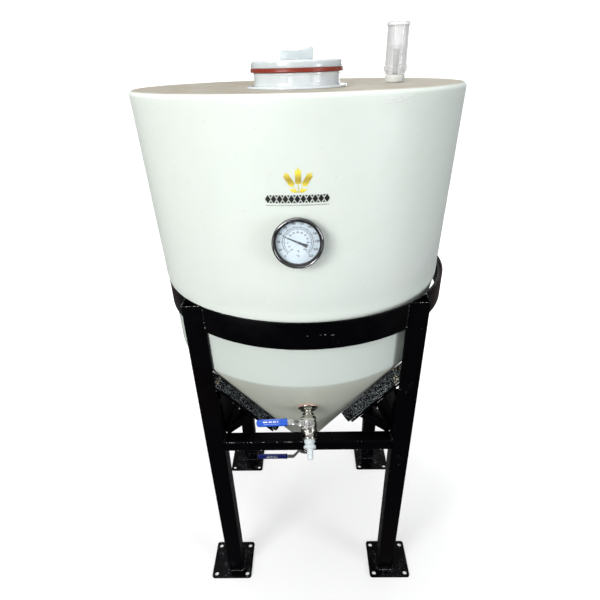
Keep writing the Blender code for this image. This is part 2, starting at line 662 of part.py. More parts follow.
def make_racking_train(rack):
    """Everything on the racking port; its axis points out of the cone from zero."""
    washer = [(0.0107, GAP), (0.0165, GAP), (0.0165, 0.0023), (0.0107, 0.0023)]
    place(turned(washer, ROUND_SMALL), "racking_washer", material("pink_silicone", (0.62, 0.34, 0.30), 0.5),
          rack)
    thread_end = -0.0180
    valve_face = RACK_BALL + BODY_START - GAP
    barrel = [(0, thread_end), (0.0100, thread_end), (0.0100, 0.0030), (0.0108, 0.0085),
              (0.0108, valve_face), (0, valve_face)]
    bulkhead = place(turned(barrel, ROUND_SMALL), "racking_bulkhead", steel(), rack)
    boolean(bulkhead, extruded(hexagon(0.0345), 0.0026, 0.0085), "join_bulkhead_hex", "UNION", rack)
    boolean(bulkhead, rod(VALVE_BORE_R + 0.0004, -0.05, 0.05, ROUND_FINE), "cut_bulkhead_bore", parent=rack)
    hex_with_hole("racking_locknut", 0.0330, -0.0135, -0.0066, 0.0103, steel(), rack)

    elbow = Vector((0, 0, -0.040))
    path = [Vector((0, 0, -0.0100)), Vector((0, 0, -0.0300))]
    for step in range(1, 6):
        angle = math.radians(12 * step)
        path.append(elbow + Vector((0, 0.030 * (math.cos(angle) - 1), -0.030 * math.sin(angle))))
    tip = path[-1] + Vector((0, -math.sin(math.radians(60)), -math.cos(math.radians(60)))) * 0.025
    path.append(tip)
    place(swept_tube(path, VALVE_BORE_R, 0.0048, 16), "racking_arm", steel(), rack)

    start = BODY_END + GAP + RACK_BALL
    barb = [(0.0034, start), (0.0098, start), (0.0102, start + 0.0040), (0.0090, start + 0.0105),
            (0.0070, start + 0.0112), (0.0070, start + 0.0125), (0.0096, start + 0.0132),
            (0.0096, start + 0.0180), (0.0060, start + 0.0192), (0.0052, start + 0.0375),
            (0.0034, start + 0.0375)]
    place(turned(barb, ROUND_SMALL), "racking_hose_barb", material("barb_white", (0.80, 0.81, 0.79), 0.4), rack)


def make_dump_adapter(tank):
    """The hexagon fitting between the tank's outlet and the dump valve."""
    valve_face = DUMP_BALL_Z - BODY_START + GAP
    seat = OUTLET_LOW - GAP
    spigot_top = OUTLET_LOW + 0.020
    shaft = [(0, spigot_top), (OUTLET_BORE_R - GAP, spigot_top), (OUTLET_BORE_R - GAP, seat - 0.001),
             (0.0108, seat - 0.008), (0.0108, valve_face), (0, valve_face)]
    adapter = place(turned(shaft, ROUND_SMALL), "dump_adapter", steel(), tank)
    boolean(adapter, extruded(hexagon(0.0380), seat - 0.0085, seat), "join_adapter_hex", "UNION", tank)
    boolean(adapter, rod(VALVE_BORE_R, 0.2, 0.4, ROUND_FINE), "cut_adapter_bore", parent=tank)


# ---------------------------------------------------------------- assembly
def main():
    clear_scene()
    stand = empty("stand_centre", (CENTRE_X, CENTRE_Y, 0))
    tank = empty("tank_axis", (TANK_X, 0, 0), parent=stand)
    outward = (math.radians(90), 0, 0)
    dial = empty("thermometer_axis", (0, -wall_r(DIAL_Z), DIAL_Z), outward, tank)

    rack_tilt = Euler((math.radians(180) - CONE_ANGLE, 0, 0)).to_matrix()
    rack_facing = (Matrix.Rotation(RACK_TURN, 3, "Z") @ rack_tilt).to_euler()
    rack_place = Matrix.Rotation(RACK_TURN, 3, "Z") @ Vector((0, -RACK_R, cone_z(RACK_R)))
    rack = empty("racking_axis", rack_place, rack_facing, tank)
    rack_valve = empty("racking_valve_centre", (0, 0, RACK_BALL), (0, 0, 0), rack)
    dump_valve = empty("dump_valve_centre", (0, 0, DUMP_BALL_Z), (math.radians(180), 0, 0), tank)

    make_stand(stand, tank)
    make_tank(tank, rack, dial)
    make_neck(tank)
    make_lid(tank)
    make_airlock(tank)
    make_thermometer(dial)
    make_racking_train(rack)
    make_valve("racking", rack_valve)
    make_dump_adapter(tank)
    make_valve("dump", dump_valve)


main()
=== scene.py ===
"""The looks of the conical fermenter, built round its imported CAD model."""
import math
import random

import bmesh
import bpy
from mathutils import Matrix, Vector, noise


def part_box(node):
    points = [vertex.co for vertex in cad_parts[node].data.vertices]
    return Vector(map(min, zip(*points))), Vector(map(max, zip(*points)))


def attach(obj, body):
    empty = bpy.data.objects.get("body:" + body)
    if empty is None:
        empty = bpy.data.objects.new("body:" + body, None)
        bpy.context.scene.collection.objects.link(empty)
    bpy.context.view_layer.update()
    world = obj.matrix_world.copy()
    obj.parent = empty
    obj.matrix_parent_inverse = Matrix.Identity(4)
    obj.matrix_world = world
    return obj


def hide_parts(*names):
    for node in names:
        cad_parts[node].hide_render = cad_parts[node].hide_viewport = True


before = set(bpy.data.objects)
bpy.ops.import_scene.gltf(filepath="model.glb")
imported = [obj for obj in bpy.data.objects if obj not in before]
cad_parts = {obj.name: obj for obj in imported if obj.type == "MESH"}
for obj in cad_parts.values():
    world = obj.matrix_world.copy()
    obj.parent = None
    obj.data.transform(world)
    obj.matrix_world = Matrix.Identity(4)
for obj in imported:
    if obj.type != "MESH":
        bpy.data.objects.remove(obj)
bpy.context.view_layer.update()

# ---------------------------------------------------------------- places from the frame, sizes of the CAD
def shift(x, y, z):
    return Matrix.Translation((x, y, z))


def spin(degrees, axis):
    return Matrix.Rotation(math.radians(degrees), 4, axis)


def middle(node):
    low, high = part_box(node)
    return (low + high) / 2


TANK_AT = middle("tank_shell")
STAND_AT = middle("support_ring")
TANK = shift(TANK_AT.x, TANK_AT.y, 0)
STAND = shift(STAND_AT.x, STAND_AT.y, 0)

GAP = 0.0003
FINE = 256                 # segments round the tank and the ring
ROUND = 96                 # segments round smaller turned pieces

TUBE = 0.0381
TUBE_WALL = 0.0020
LEG_OUTSIDE = 0.2138
LEG_MIDDLE = LEG_OUTSIDE - TUBE / 2
LEG_INSIDE = LEG_OUTSIDE - TUBE
PLATE = 0.102
PLATE_THICK = 0.005
PLATE_X = 0.2055
PLATE_Y = 0.1820
HOLE_R = 0.0052
HOLE_INSET = 0.0110
RING_R = 0.2790
RING_THICK = 0.0035
RING_TOP = 0.7853
RING_LOW = RING_TOP - 0.0499
BAR_HEIGHT = 0.0254
BAR_DEPTH = 0.0318
BAR_TOP = 0.4660
PAD_WIDTH = 0.036
PAD_THICK = {-1: 0.0215, 1: 0.0275}    # left and right
PAD_LOW_R = {-1: 0.098, 1: 0.132}
PAD_HIGH_R = {-1: 0.253, 1: 0.258}
ARM_TOP = 0.571
COPE_R = 0.2748
OFF_CENTRE = 0.0055        # how far the tank stands off the stand's centre, towards a left leg

WALL = 0.005
RIM_R = 0.2798
RIM_TOP = 1.1033
DRAFT = 0.0221
SHOULDER_TOP = 0.800
SHOULDER_LOW = 0.787
BARREL_R = 0.2670
CONE_R = 0.2655
APEX_Z = 0.252
CONE_SLOPE = 1.488
CONE_ANGLE = math.atan(CONE_SLOPE)
CONE_END = 0.300
OUTLET_R = 0.0230
OUTLET_LOW = 0.286
OUTLET_BORE_R = 0.0140
DECK_Z = 1.0982
DECK_R = 0.100
MOUTH_R = 0.0700

NECK_R = 0.0740
NECK_BORE_R = 0.0665
NECK_TOP = 1.1210
FLANGE_R = 0.0864
SEAL_R = 0.0790
SEAL_TOP = 1.1270
LID_R = 0.0775
LID_THICK = 0.0102
PLUG_R = 0.0650
AIRLOCK_X = 0.1673
AIRLOCK_R = 0.0186
AIRLOCK_TOP = 1.1865
STOPPER_LOW = 1.1023
STOPPER_TOP = 1.1135

DIAL_Z = 0.9194
CASE_R = 0.0370
CASE_START = 0.0040
CASE_FRONT = 0.0170
FACE_R = 0.0316
FACE_TOP = 0.0073          # the dial's printed face, from the wall
HAND_TURN = math.radians(-24)

RACK_R = 0.2000
RACK_TURN = math.radians(2.6)
RACK_BALL = 0.0400
BODY_START = -0.0200
BODY_END = 0.0270
BOSS_TOP = 0.0225
LEVER_LENGTH = {"racking": 0.0985, "dump": 0.1250}
LEVER_WIDTH = 0.0115
LEVER_THICK = 0.0025
LEVER_STEP = {"racking": 0.0140, "dump": 0.0220}
GRIP_LENGTH = {"racking": 0.0590, "dump": 0.0780}
# the dump grip's darker blue is painted shade: the same vinyl as the racking grip, darkened where it sits
# in shadow behind the bar
GRIP_LOOK = {"racking": "blue", "dump": "blue_in_painted_shade"}
DUMP_BALL_Z = 0.2500

CAMERA_AT = (0.0099, -0.8877, 1.1331)
CAMERA_LENS = 26.83        # mm
CAMERA_SHIFT = 0.075
CAMERA_PAN = 0.0238        # radians, as are the next two
CAMERA_DOWN = 0.5620
CAMERA_ROLL = -0.0281

SQUARE = ((-1, -1), (1, -1), (1, 1), (-1, 1))
CORNERS = {"front_left": (-1, -1), "front_right": (1, -1), "rear_left": (-1, 1), "rear_right": (1, 1)}


def cone_z(radius):
    return APEX_Z + CONE_SLOPE * radius


def wall_r(height):
    return RIM_R - DRAFT * (RIM_TOP - height)


DIAL = TANK @ shift(0, -wall_r(DIAL_Z), DIAL_Z) @ spin(90, "X")
RACK = (TANK @ Matrix.Rotation(RACK_TURN, 4, "Z") @ shift(0, -RACK_R, cone_z(RACK_R))
        @ Matrix.Rotation(math.radians(180) - CONE_ANGLE, 4, "X"))
RACK_VALVE = RACK @ shift(0, 0, RACK_BALL)
DUMP_VALVE = TANK @ shift(0, 0, DUMP_BALL_Z) @ spin(180, "X")
STEM = spin(-90, "X")


# ---------------------------------------------------------------- materials
class Look:
    """A procedural material being wired up round one Principled shader."""

    def __init__(self, name, colour, roughness, metallic=0.0, **inputs):
        self.made = bpy.data.materials.new(name)
        self.made.use_nodes = True
        self.tree = self.made.node_tree
        self.shader = self.tree.nodes["Principled BSDF"]
        self.set("Base Color", (*colour, 1.0))
        self.set("Roughness", roughness)
        self.set("Metallic", metallic)
        for label, value in inputs.items():
            self.set(label.replace("_", " "), value)
        self.place = self.node("ShaderNodeTexCoord").outputs["Object"]

    def node(self, kind):
        return self.tree.nodes.new(kind)

    def link(self, source, target):
        if isinstance(source, bpy.types.NodeSocket):
            self.tree.links.new(source, target)
        else:
            target.default_value = source

    def set(self, label, value):
        self.link(value, self.shader.inputs[label])

    def noise(self, scale, detail=3.0, roughness=0.5, stretch=(1, 1, 1)):
        made = self.node("ShaderNodeTexNoise")
        made.inputs["Scale"].default_value = scale
        made.inputs["Detail"].default_value = detail
        made.inputs["Roughness"].default_value = roughness
        self.link(self.stretched(stretch), made.inputs["Vector"])
        return made.outputs["Fac"]

    def cells(self, scale):
        """Distance from the nearest of many scattered points."""
        made = self.node("ShaderNodeTexVoronoi")
        made.inputs["Scale"].default_value = scale
        self.link(self.place, made.inputs["Vector"])
        return made.outputs["Distance"]

    def stretched(self, stretch):
        if stretch == (1, 1, 1):
            return self.place
        made = self.node("ShaderNodeMapping")
        made.inputs["Scale"].default_value = stretch
        self.link(self.place, made.inputs["Vector"])
        return made.outputs["Vector"]

    def axis(self, label):
        made = self.node("ShaderNodeSeparateXYZ")
        self.link(self.place, made.inputs["Vector"])
        return made.outputs[label]

    def reach(self):
        """Distance from the tank's axis."""
        flat = self.node("ShaderNodeVectorMath")
        flat.operation = "MULTIPLY"
        flat.inputs[1].default_value = (1, 1, 0)
        self.link(self.place, flat.inputs[0])
        made = self.node("ShaderNodeVectorMath")
        made.operation = "DISTANCE"
        self.link(flat.outputs["Vector"], made.inputs[0])
        made.inputs[1].default_value = (TANK_AT.x, TANK_AT.y, 0)
        return made.outputs["Value"]

    def ramp(self, value, low, high, start=0.0, end=1.0):
        """Value from low to high becomes start to end, and stays there."""
        made = self.node("ShaderNodeMapRange")
        made.inputs["From Min"].default_value = low
        made.inputs["From Max"].default_value = high
        made.inputs["To Min"].default_value = start
        made.inputs["To Max"].default_value = end
        self.link(value, made.inputs["Value"])
        return made.outputs["Result"]

    def math(self, operation, first, second=0.0):
        made = self.node("ShaderNodeMath")
        made.operation = operation
        self.link(first, made.inputs[0])
        self.link(second, made.inputs[1])
        return made.outputs[0]

    def mix(self, amount, first, second):
        """A colour between two colours; each is a socket or an (r, g, b)."""
        made = self.node("ShaderNodeMix")
        made.data_type = "RGBA"
        self.link(amount, made.inputs["Factor"])
        for value, label in ((first, 6), (second, 7)):
            self.link((*value, 1.0) if isinstance(value, tuple) else value, made.inputs[label])
        return made.outputs[2]

    def bump(self, height, strength, distance):
        made = self.node("ShaderNodeBump")
        made.inputs["Strength"].default_value = strength
        made.inputs["Distance"].default_value = distance
        self.link(height, made.inputs["Height"])
        self.set("Normal", made.outputs["Normal"])


def tank_look():
    """Rotomoulded polyethylene: creamy, mottled, faintly orange-peeled, dusty on its top."""
    look = Look("tank_polyethylene", (0.80, 0.83, 0.76), 0.40, Subsurface_Weight=0.12,
                Subsurface_Radius=(0.010, 0.010, 0.008), Subsurface_Scale=0.4, IOR=1.48)
    broad = look.noise(5.0, 3.0)
    colour = look.mix(look.ramp(broad, 0.35, 0.65), (0.735, 0.800, 0.750), (0.760, 0.815, 0.770))
    cloud = look.noise(38.0, 4.0, 0.6)
    colour = look.mix(look.ramp(cloud, 0.45, 0.75, 0.0, 0.35), colour, (0.71, 0.76, 0.70))
    height = look.axis("Z")
    # painted shade: the tank is darkened below the shoulder, standing in for the ring's shadow on the
    # lower barrel
    low = look.ramp(height, SHOULDER_LOW - 0.03, SHOULDER_LOW + 0.01, 0.58, 0.0)
    colour = look.mix(low, colour, (0.50, 0.56, 0.53))
    # painted shade: the cone is tinted darker and yellower, the shade of its downward-facing surface
    cone = look.ramp(height, cone_z(CONE_R) - 0.004, cone_z(CONE_R) + 0.001, 1.0, 0.0)
    colour = look.mix(look.math("MULTIPLY", cone, 0.6), colour, (0.74, 0.76, 0.62))
    stain = look.noise(9.0, 5.0, 0.65, (1, 1, 0.35))
    stain = look.math("MULTIPLY", look.ramp(stain, 0.56, 0.74), cone)
    colour = look.mix(look.math("MULTIPLY", stain, 0.30), colour, (0.44, 0.41, 0.34))
    dust = look.ramp(height, RIM_TOP - 0.0045, RIM_TOP - 0.0005, 0.0, 1.0)
    deck = look.math("MAXIMUM", dust, look.ramp(height, DECK_Z - 0.004, DECK_Z - 0.001))
    wall = look.ramp(look.reach(), wall_r(RIM_TOP) - 0.0065, wall_r(RIM_TOP) - 0.0025, 1.0, 0.0)
    deck = look.math("MULTIPLY", deck, wall)
    patch = look.ramp(look.noise(22.0, 5.0, 0.6), 0.3, 0.7, 0.72, 1.0)
    colour = look.mix(look.math("MULTIPLY", deck, patch), colour, (0.365, 0.315, 0.235))
    speck = look.math("LESS_THAN", look.cells(70.0), 0.045)
    colour = look.mix(look.math("MULTIPLY", speck, 0.5), colour, (0.35, 0.32, 0.26))
    look.set("Base Color", colour)
    look.set("Roughness", look.ramp(cloud, 0.3, 0.7, 0.34, 0.47))
    peel = look.math("ADD", look.noise(420.0, 2.0), look.math("MULTIPLY", look.noise(60.0, 3.0), 1.5))
    look.bump(peel, 0.16, 0.0006)
    return look.made


def paint_look(name="black_powder_coat", ends=0.0):
    """Gloss black powder coat with orange peel, dust, and painted sheen specks by the feet; ends
    adds a painted reddish brown reflection at the far left and right."""
    shine = 0.26
    look = Look(name, (0.004, 0.004, 0.005), shine, IOR=1.16)
    cast = look.ramp(look.noise(3.2, 2.0), 0.48, 0.72)
    colour = look.mix(cast, (0.0008, 0.0008, 0.0014), (0.0020, 0.0012, 0.0014))
    # painted reflection: a reddish brown glint near the far left and right ends, where the ring is seen
    # at a grazing angle
    painted_end_reflection = look.ramp(look.math("ABSOLUTE", look.axis("X")), 0.225, 0.268, 0.0, ends)
    painted_end_reflection = look.math("MULTIPLY", painted_end_reflection, look.ramp(look.noise(14.0, 3.0), 0.30, 0.62, 0.25, 1.0))
    colour = look.mix(painted_end_reflection, colour, (0.034, 0.014, 0.014))
    dust = look.noise(140.0, 6.0, 0.7)
    colour = look.mix(look.ramp(dust, 0.64, 0.84, 0.0, 0.04), colour, (0.25, 0.25, 0.25))
    region = look.ramp(look.noise(11.0, 2.0), 0.60, 0.70)
    chip = look.math("LESS_THAN", look.cells(150.0), 0.09)
    ragged = look.math("GREATER_THAN", look.noise(300.0, 3.0), 0.54)
    chip = look.math("MULTIPLY", look.math("MULTIPLY", chip, region), ragged)
    colour = look.mix(chip, colour, (0.50, 0.48, 0.45))
    # painted highlight: pale bluish sheen specks near the feet, standing in for the glossy coat's
    # speckled reflections
    foot = look.ramp(look.axis("Z"), 0.006, 0.055, 1.0, 0.0)
    speck = look.ramp(look.noise(520.0, 2.0, 0.6), 0.61, 0.68)
    cloud = look.ramp(look.noise(42.0, 2.0), 0.50, 0.62)
    speck = look.math("MULTIPLY", look.math("MULTIPLY", speck, cloud), foot)
    colour = look.mix(look.math("MULTIPLY", speck, 0.75), colour, (0.23, 0.26, 0.31))
    look.set("Base Color", colour)
    look.set("Roughness", look.ramp(look.noise(45.0, 4.0), 0.3, 0.7, shine - 0.06, shine + 0.12))
    peel = look.math("ADD", look.noise(480.0, 2.0), look.math("MULTIPLY", look.noise(95.0, 2.0), 1.2))
    look.bump(peel, 0.22, 0.0004)
    return look.made


def chipped_look():
    """Powder coat knocked off along an arris: mostly bare bright metal."""
    look = Look("chipped_edge", (0.55, 0.54, 0.52), 0.45, IOR=1.5)
    spots = look.ramp(look.noise(260.0, 4.0, 0.7), 0.46, 0.52)
    look.set("Base Color", look.mix(spots, (0.012, 0.012, 0.014), (0.66, 0.65, 0.63)))
    look.bump(look.noise(600.0, 3.0), 0.4, 0.0003)
    return look.made


def weld_look():
    """Painted weld: lumpy and glossy, with its paint broken on the crests."""
    look = Look("painted_weld", (0.01, 0.01, 0.012), 0.24, IOR=1.30)
    crest = look.ramp(look.noise(210.0, 4.0, 0.65), 0.60, 0.66)
    look.set("Base Color", look.mix(crest, (0.004, 0.004, 0.005), (0.20, 0.20, 0.21)))
    look.bump(look.noise(520.0, 4.0), 0.6, 0.0006)
    return look.made


def foam_look():
    """Open rubber foam: near black with a salting of paler torn cells."""
    look = Look("black_foam", (0.01, 0.01, 0.01), 0.95, IOR=1.12)
    tone = look.noise(420.0, 4.0, 0.75)
    colour = look.mix(look.ramp(tone, 0.42, 0.62), (0.0008, 0.0009, 0.0011), (0.006, 0.007, 0.008))
    worm = look.noise(250.0, 2.0, 0.55, (1.0, 1.0, 1.4))
    colour = look.mix(look.ramp(worm, 0.555, 0.585, 0.0, 0.9), colour, (0.14, 0.165, 0.175))
    speck = look.ramp(look.noise(430.0, 1.5, 0.55), 0.62, 0.655)
    colour = look.mix(speck, colour, (0.40, 0.44, 0.46))
    look.set("Base Color", colour)
    look.bump(look.math("ADD", look.cells(330.0), tone), 0.9, 0.0012)
    return look.made


def torn_foam_look():
    look = Look("torn_foam", (0.42, 0.38, 0.24), 0.9, IOR=1.4)
    look.set("Base Color", look.mix(look.ramp(look.noise(300.0, 4.0), 0.40, 0.60),
                                    (0.10, 0.09, 0.06), (0.50, 0.46, 0.31)))
    look.bump(look.noise(420.0, 4.0), 0.9, 0.001)
    return look.made


def steel_look(name="stainless_steel", tint=(0.65, 0.63, 0.58), rough=0.11):
    """Tumbled nickel-bright steel with fine lines, smudges and dark spots."""
    look = Look(name, tint, rough, 1.0)
    smudge = look.noise(90.0, 4.0, 0.6)
    deep = tuple(value * 0.55 for value in tint)
    colour = look.mix(look.ramp(smudge, 0.40, 0.70), tint, deep)
    pit = look.math("LESS_THAN", look.cells(520.0), 0.09)
    colour = look.mix(look.math("MULTIPLY", pit, 0.6), colour, (0.16, 0.14, 0.12))
    look.set("Base Color", colour)
    look.set("Roughness", look.ramp(smudge, 0.3, 0.7, rough - 0.05, rough + 0.10))
    look.bump(look.noise(900.0, 3.0), 0.10, 0.0002)
    return look.made


def moulded_look(name, colour, rough, soft=0.10, peel=0.08):
    """Injection-moulded plastic: slight colour drift, fine texture, handling marks."""
    look = Look(name, colour, rough, IOR=1.49, Subsurface_Weight=soft,
                Subsurface_Radius=(0.006, 0.006, 0.006), Subsurface_Scale=0.3)
    drift = look.noise(30.0, 4.0, 0.55)
    deep = tuple(value * 0.90 for value in colour)
    look.set("Base Color", look.mix(look.ramp(drift, 0.38, 0.68), colour, deep))
    scuff = look.noise(150.0, 5.0, 0.7, (1, 1, 4))
    look.set("Roughness", look.ramp(scuff, 0.35, 0.70, rough - 0.05, rough + 0.13))
    look.bump(look.noise(700.0, 2.0), peel, 0.0003)
    return look.made


def rubber_look(name, colour, rough):
    look = Look(name, colour, rough, IOR=1.45)
    drift = look.noise(120.0, 4.0, 0.6)
    deep = tuple(value * 0.70 for value in colour)
    look.set("Base Color", look.mix(look.ramp(drift, 0.35, 0.7), colour, deep))
    look.set("Roughness", look.ramp(drift, 0.3, 0.7, rough - 0.08, rough + 0.12))
    look.bump(look.noise(800.0, 3.0), 0.25, 0.0003)
    return look.made


def clear_look(name, alpha):
    """Clear polystyrene, grey where it is seen edge on, with faint moulding haze."""
    look = Look(name, (0.80, 0.80, 0.81), 0.06, IOR=1.50, Alpha=alpha)
    haze = look.noise(60.0, 4.0, 0.6, (1, 1, 0.3))
    look.set("Base Color", look.mix(look.ramp(haze, 0.4, 0.7), (0.60, 0.60, 0.61),
                                    (0.72, 0.72, 0.73)))
    edge = look.node("ShaderNodeLayerWeight")
    edge.inputs["Blend"].default_value = 0.35
    seen = look.ramp(edge.outputs["Facing"], 0.0, 1.0, alpha * 0.6, min(1.0, alpha * 3.0))
    look.set("Alpha", seen)
    look.set("Roughness", look.ramp(haze, 0.4, 0.8, 0.03, 0.12))
    look.bump(look.noise(160.0, 2.0), 0.05, 0.0004)
    return look.made


def lens_look():
    """Window glass over the dial."""
    look = Look("lens_glass", (0.80, 0.88, 0.96), 0.03, IOR=1.5, Alpha=0.06)
    look.set("Roughness", look.ramp(look.noise(80.0, 4.0), 0.5, 0.8, 0.02, 0.08))
    return look.made


def dial_look():
    look = Look("dial_white", (0.80, 0.85, 0.92), 0.45, IOR=1.45)
    look.set("Base Color", look.mix(look.ramp(look.noise(40.0, 3.0), 0.4, 0.7),
                                    (0.80, 0.91, 0.99), (0.73, 0.85, 0.96)))
    look.bump(look.noise(900.0, 2.0), 0.05, 0.0002)
    return look.made


def ink_look(name, colour, patchy=0.25):
    look = Look(name, colour, 0.5, IOR=1.45)
    worn = look.ramp(look.noise(900.0, 3.0), 0.55, 0.78, 0.0, patchy)
    look.set("Base Color", look.mix(worn, colour, (0.45, 0.45, 0.43)))
    return look.made


def gold_look():
    """Printed gold that runs from deep amber to bright yellow."""
    look = Look("gold_print", (0.75, 0.52, 0.06), 0.4, IOR=1.45)
    height = look.ramp(look.axis("Z"), 0.987, 1.017)
    wave = look.math("SINE", look.math("MULTIPLY", height, 9.0))
    amount = look.ramp(wave, -1.0, 1.0)
    colour = look.mix(amount, (0.46, 0.33, 0.03), (0.97, 0.83, 0.06))
    grain = look.ramp(look.noise(700.0, 2.0), 0.45, 0.7, 0.0, 0.25)
    look.set("Base Color", look.mix(grain, colour, (0.95, 0.85, 0.35)))
    return look.made


LOOKS = {
    # ring_powder_coat uses ends for a painted reddish reflection at the ring's far ends
    "tank": tank_look(), "paint": paint_look(), "ring": paint_look("ring_powder_coat", ends=0.9),
    "chipped": chipped_look(), "weld": weld_look(),
    "foam": foam_look(), "torn": torn_foam_look(), "steel": steel_look(),
    "chrome": steel_look("chrome_bezel", (0.80, 0.80, 0.81), 0.07),
    # the bezel's chrome is darkened in colour: a painted dark reflection
    "bezel": steel_look("chrome_with_painted_dark_reflection", (0.24, 0.24, 0.25), 0.06),
    "strap": steel_look("pressed_steel", (0.86, 0.86, 0.84), 0.28),
    "neck": moulded_look("neck_plastic", (0.70, 0.75, 0.77), 0.08, 0.3),
    "lid": moulded_look("lid_plastic", (0.58, 0.63, 0.65), 0.10, 0.3),
    "stopper": moulded_look("stopper_rubber", (0.69, 0.71, 0.69), 0.42),
    "barb": moulded_look("barb_plastic", (0.65, 0.71, 0.74), 0.24, 0.15),
    "blue": moulded_look("blue_vinyl", (0.010, 0.095, 0.58), 0.26, 0.0, 0.12),
    # a darker copy of blue_vinyl: painted shade for the dump grip in shadow
    "blue_in_painted_shade": moulded_look("blue_vinyl_in_painted_shade", (0.006, 0.014, 0.16), 0.34, 0.0, 0.12),
    "seal": rubber_look("red_silicone", (0.27, 0.032, 0.016), 0.30),
    "rubber": rubber_look("black_rubber", (0.016, 0.016, 0.016), 0.55),
    "pink": rubber_look("pink_silicone", (0.66, 0.36, 0.29), 0.45),
    "riser": moulded_look("milky_plastic", (0.70, 0.71, 0.72), 0.12, 0.3),
    "clear": clear_look("clear_plastic", 0.30), "faint": clear_look("clear_float", 0.05),
    "lens": lens_look(), "dial": dial_look(),
    "ink": ink_look("dial_ink", (0.02, 0.02, 0.025)), "gold": gold_look(),
    "print": ink_look("black_print", (0.006, 0.006, 0.006), 0.10),
    "faded": ink_look("faded_print", (0.16, 0.16, 0.16), 0.50),
    "white_ink": ink_look("white_print", (0.85, 0.87, 0.90), 0.1),
    "pointer": ink_look("pointer_enamel", (0.010, 0.010, 0.010), 0.08),
    "tape": moulded_look("tape_residue", (0.96, 0.97, 0.96), 0.22, 0.0, 0.2),
}


# ---------------------------------------------------------------- mesh helpers
def object_from(bm, name):
    """Turn a bmesh into an object of the scene."""
    mesh = bpy.data.meshes.new(name)
    bm.to_mesh(mesh)
    bm.free()
    made = bpy.data.objects.new(name, mesh)
    bpy.context.scene.collection.objects.link(made)
    return made


def shaded(made, sharp):
    """Smooth shading, but for edges sharper than this many degrees."""
    made.data.shade_smooth()
    made.data.set_sharp_from_angle(angle=math.radians(sharp))
    return made


def raised(bm, faces, by):
    """Extrude faces by a vector."""
    grown = bmesh.ops.extrude_face_region(bm, geom=faces)
    verts = [item for item in grown["geom"] if isinstance(item, bmesh.types.BMVert)]
    bmesh.ops.translate(bm, verts=verts, vec=by)


def rims(bm, axis):
    """The edges that lie flat across an axis."""
    return [e for e in bm.edges if abs(e.verts[0].co[axis] - e.verts[1].co[axis]) < 1e-9]


def bevelled(bm, edges, offset, segments):
    bmesh.ops.bevel(bm, geom=edges, offset=offset, segments=segments, profile=0.5, affect="EDGES",
                    clamp_overlap=True)
    return bm


def piece(bm, name, look, body, replaced=(), place=None, sharp=38):
    """Finish a bmesh as a named piece that rides a body and stands for CAD nodes."""
    bmesh.ops.remove_doubles(bm, verts=bm.verts, dist=2e-6)
    bmesh.ops.recalc_face_normals(bm, faces=bm.faces)
    if place is not None:
        bmesh.ops.transform(bm, matrix=place, verts=bm.verts)
    made = object_from(bm, name)
    made.data.materials.append(LOOKS[look])
    shaded(made, sharp)
    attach(made, body)
    if replaced:
        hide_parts(*replaced)
    return made


def fixed(bm, name, look, replaced=(), place=None, sharp=38):
    """A piece that never moves."""
    return piece(bm, name, look, "stand_and_tank", replaced, place, sharp)


def baked(made):
    """Replace a piece's mesh by what its modifiers make of it."""
    bpy.context.view_layer.update()
    graph = bpy.context.evaluated_depsgraph_get()
    shape = bpy.data.meshes.new_from_object(made.evaluated_get(graph))
    shape.name = made.name
    made.modifiers.clear()
    made.data = shape
    return made


def carve(made, cutters, sharp=38):
    """Cut (bmesh, matrix) tools out of a piece for good."""
    tools = []
    for bm, place in cutters:
        bmesh.ops.recalc_face_normals(bm, faces=bm.faces)
        bmesh.ops.transform(bm, matrix=place, verts=bm.verts)
        tool = object_from(bm, "tool")
        step = made.modifiers.new("cut", "BOOLEAN")
        step.solver = "EXACT"
        step.object = tool
        tools.append(tool)
    baked(made)
    for tool in tools:
        bpy.data.objects.remove(tool, do_unlink=True)
    return shaded(made, sharp)


def filleted(outline, radius, closed):
    """Round the corners of a 2D outline; corners on the axis of turning stay."""
    steps = 4
    points = [Vector(p) for p in outline]
    count = len(points)
    rounded_points = []
    for index, here in enumerate(points):
        before = points[index - 1]
        after = points[(index + 1) % count]
        ends = not closed and index in (0, count - 1)
        if ends or here.x < 1e-6:
            rounded_points.append(here)
            continue
        cut = min(radius, 0.45 * (here - before).length, 0.45 * (after - here).length)
        start = here + (before - here).normalized() * cut
        end = here + (after - here).normalized() * cut
        for step in range(steps + 1):
            t = step / steps
            rounded_points.append((1 - t) ** 2 * start + 2 * t * (1 - t) * here + t * t * end)
    return [(p.x, p.y) for p in rounded_points]


def turned(outline, segments=ROUND):
    """Spin an outline of (radius, height) about Z."""
    bm = bmesh.new()
    count = len(outline)
    loops = []
    for radius, height in outline:
        if radius < 1e-7:
            loops.append([bm.verts.new((0, 0, height))] * segments)
            continue
        loops.append([bm.verts.new((radius * math.cos(2 * math.pi * n / segments),
                                    radius * math.sin(2 * math.pi * n / segments), height))
                      for n in range(segments)])
    closed = outline[0][0] > 1e-7
    for index in range(count if closed else count - 1):
        first, second = loops[index], loops[(index + 1) % count]
        for n in range(segments):
            after = (n + 1) % segments
            corner = [first[n], first[after], second[after], second[n]]
            corner = list(dict.fromkeys(corner))
            if len(corner) > 2:
                bm.faces.new(corner)
    return bm


def rod(radius, low, high, segments=ROUND):
    return turned([(0, low), (radius, low), (radius, high), (0, high)], segments)


def solid_lathe(outline, fillet, segments=ROUND):
    """Spin an outline with its corners rounded; it closes on itself unless it starts on the axis."""
    return turned(filleted(outline, fillet, outline[0][0] > 1e-7), segments)


def prism(outline, low, high, bevel=0.0, segments=3):
    """Extrude a flat outline upward, with its two rims bevelled."""
    bm = bmesh.new()
    face = bm.faces.new([bm.verts.new((x, y, low)) for x, y in outline])
    raised(bm, [face], (0, 0, high - low))
    return bevelled(bm, rims(bm, 2), bevel, segments) if bevel else bm


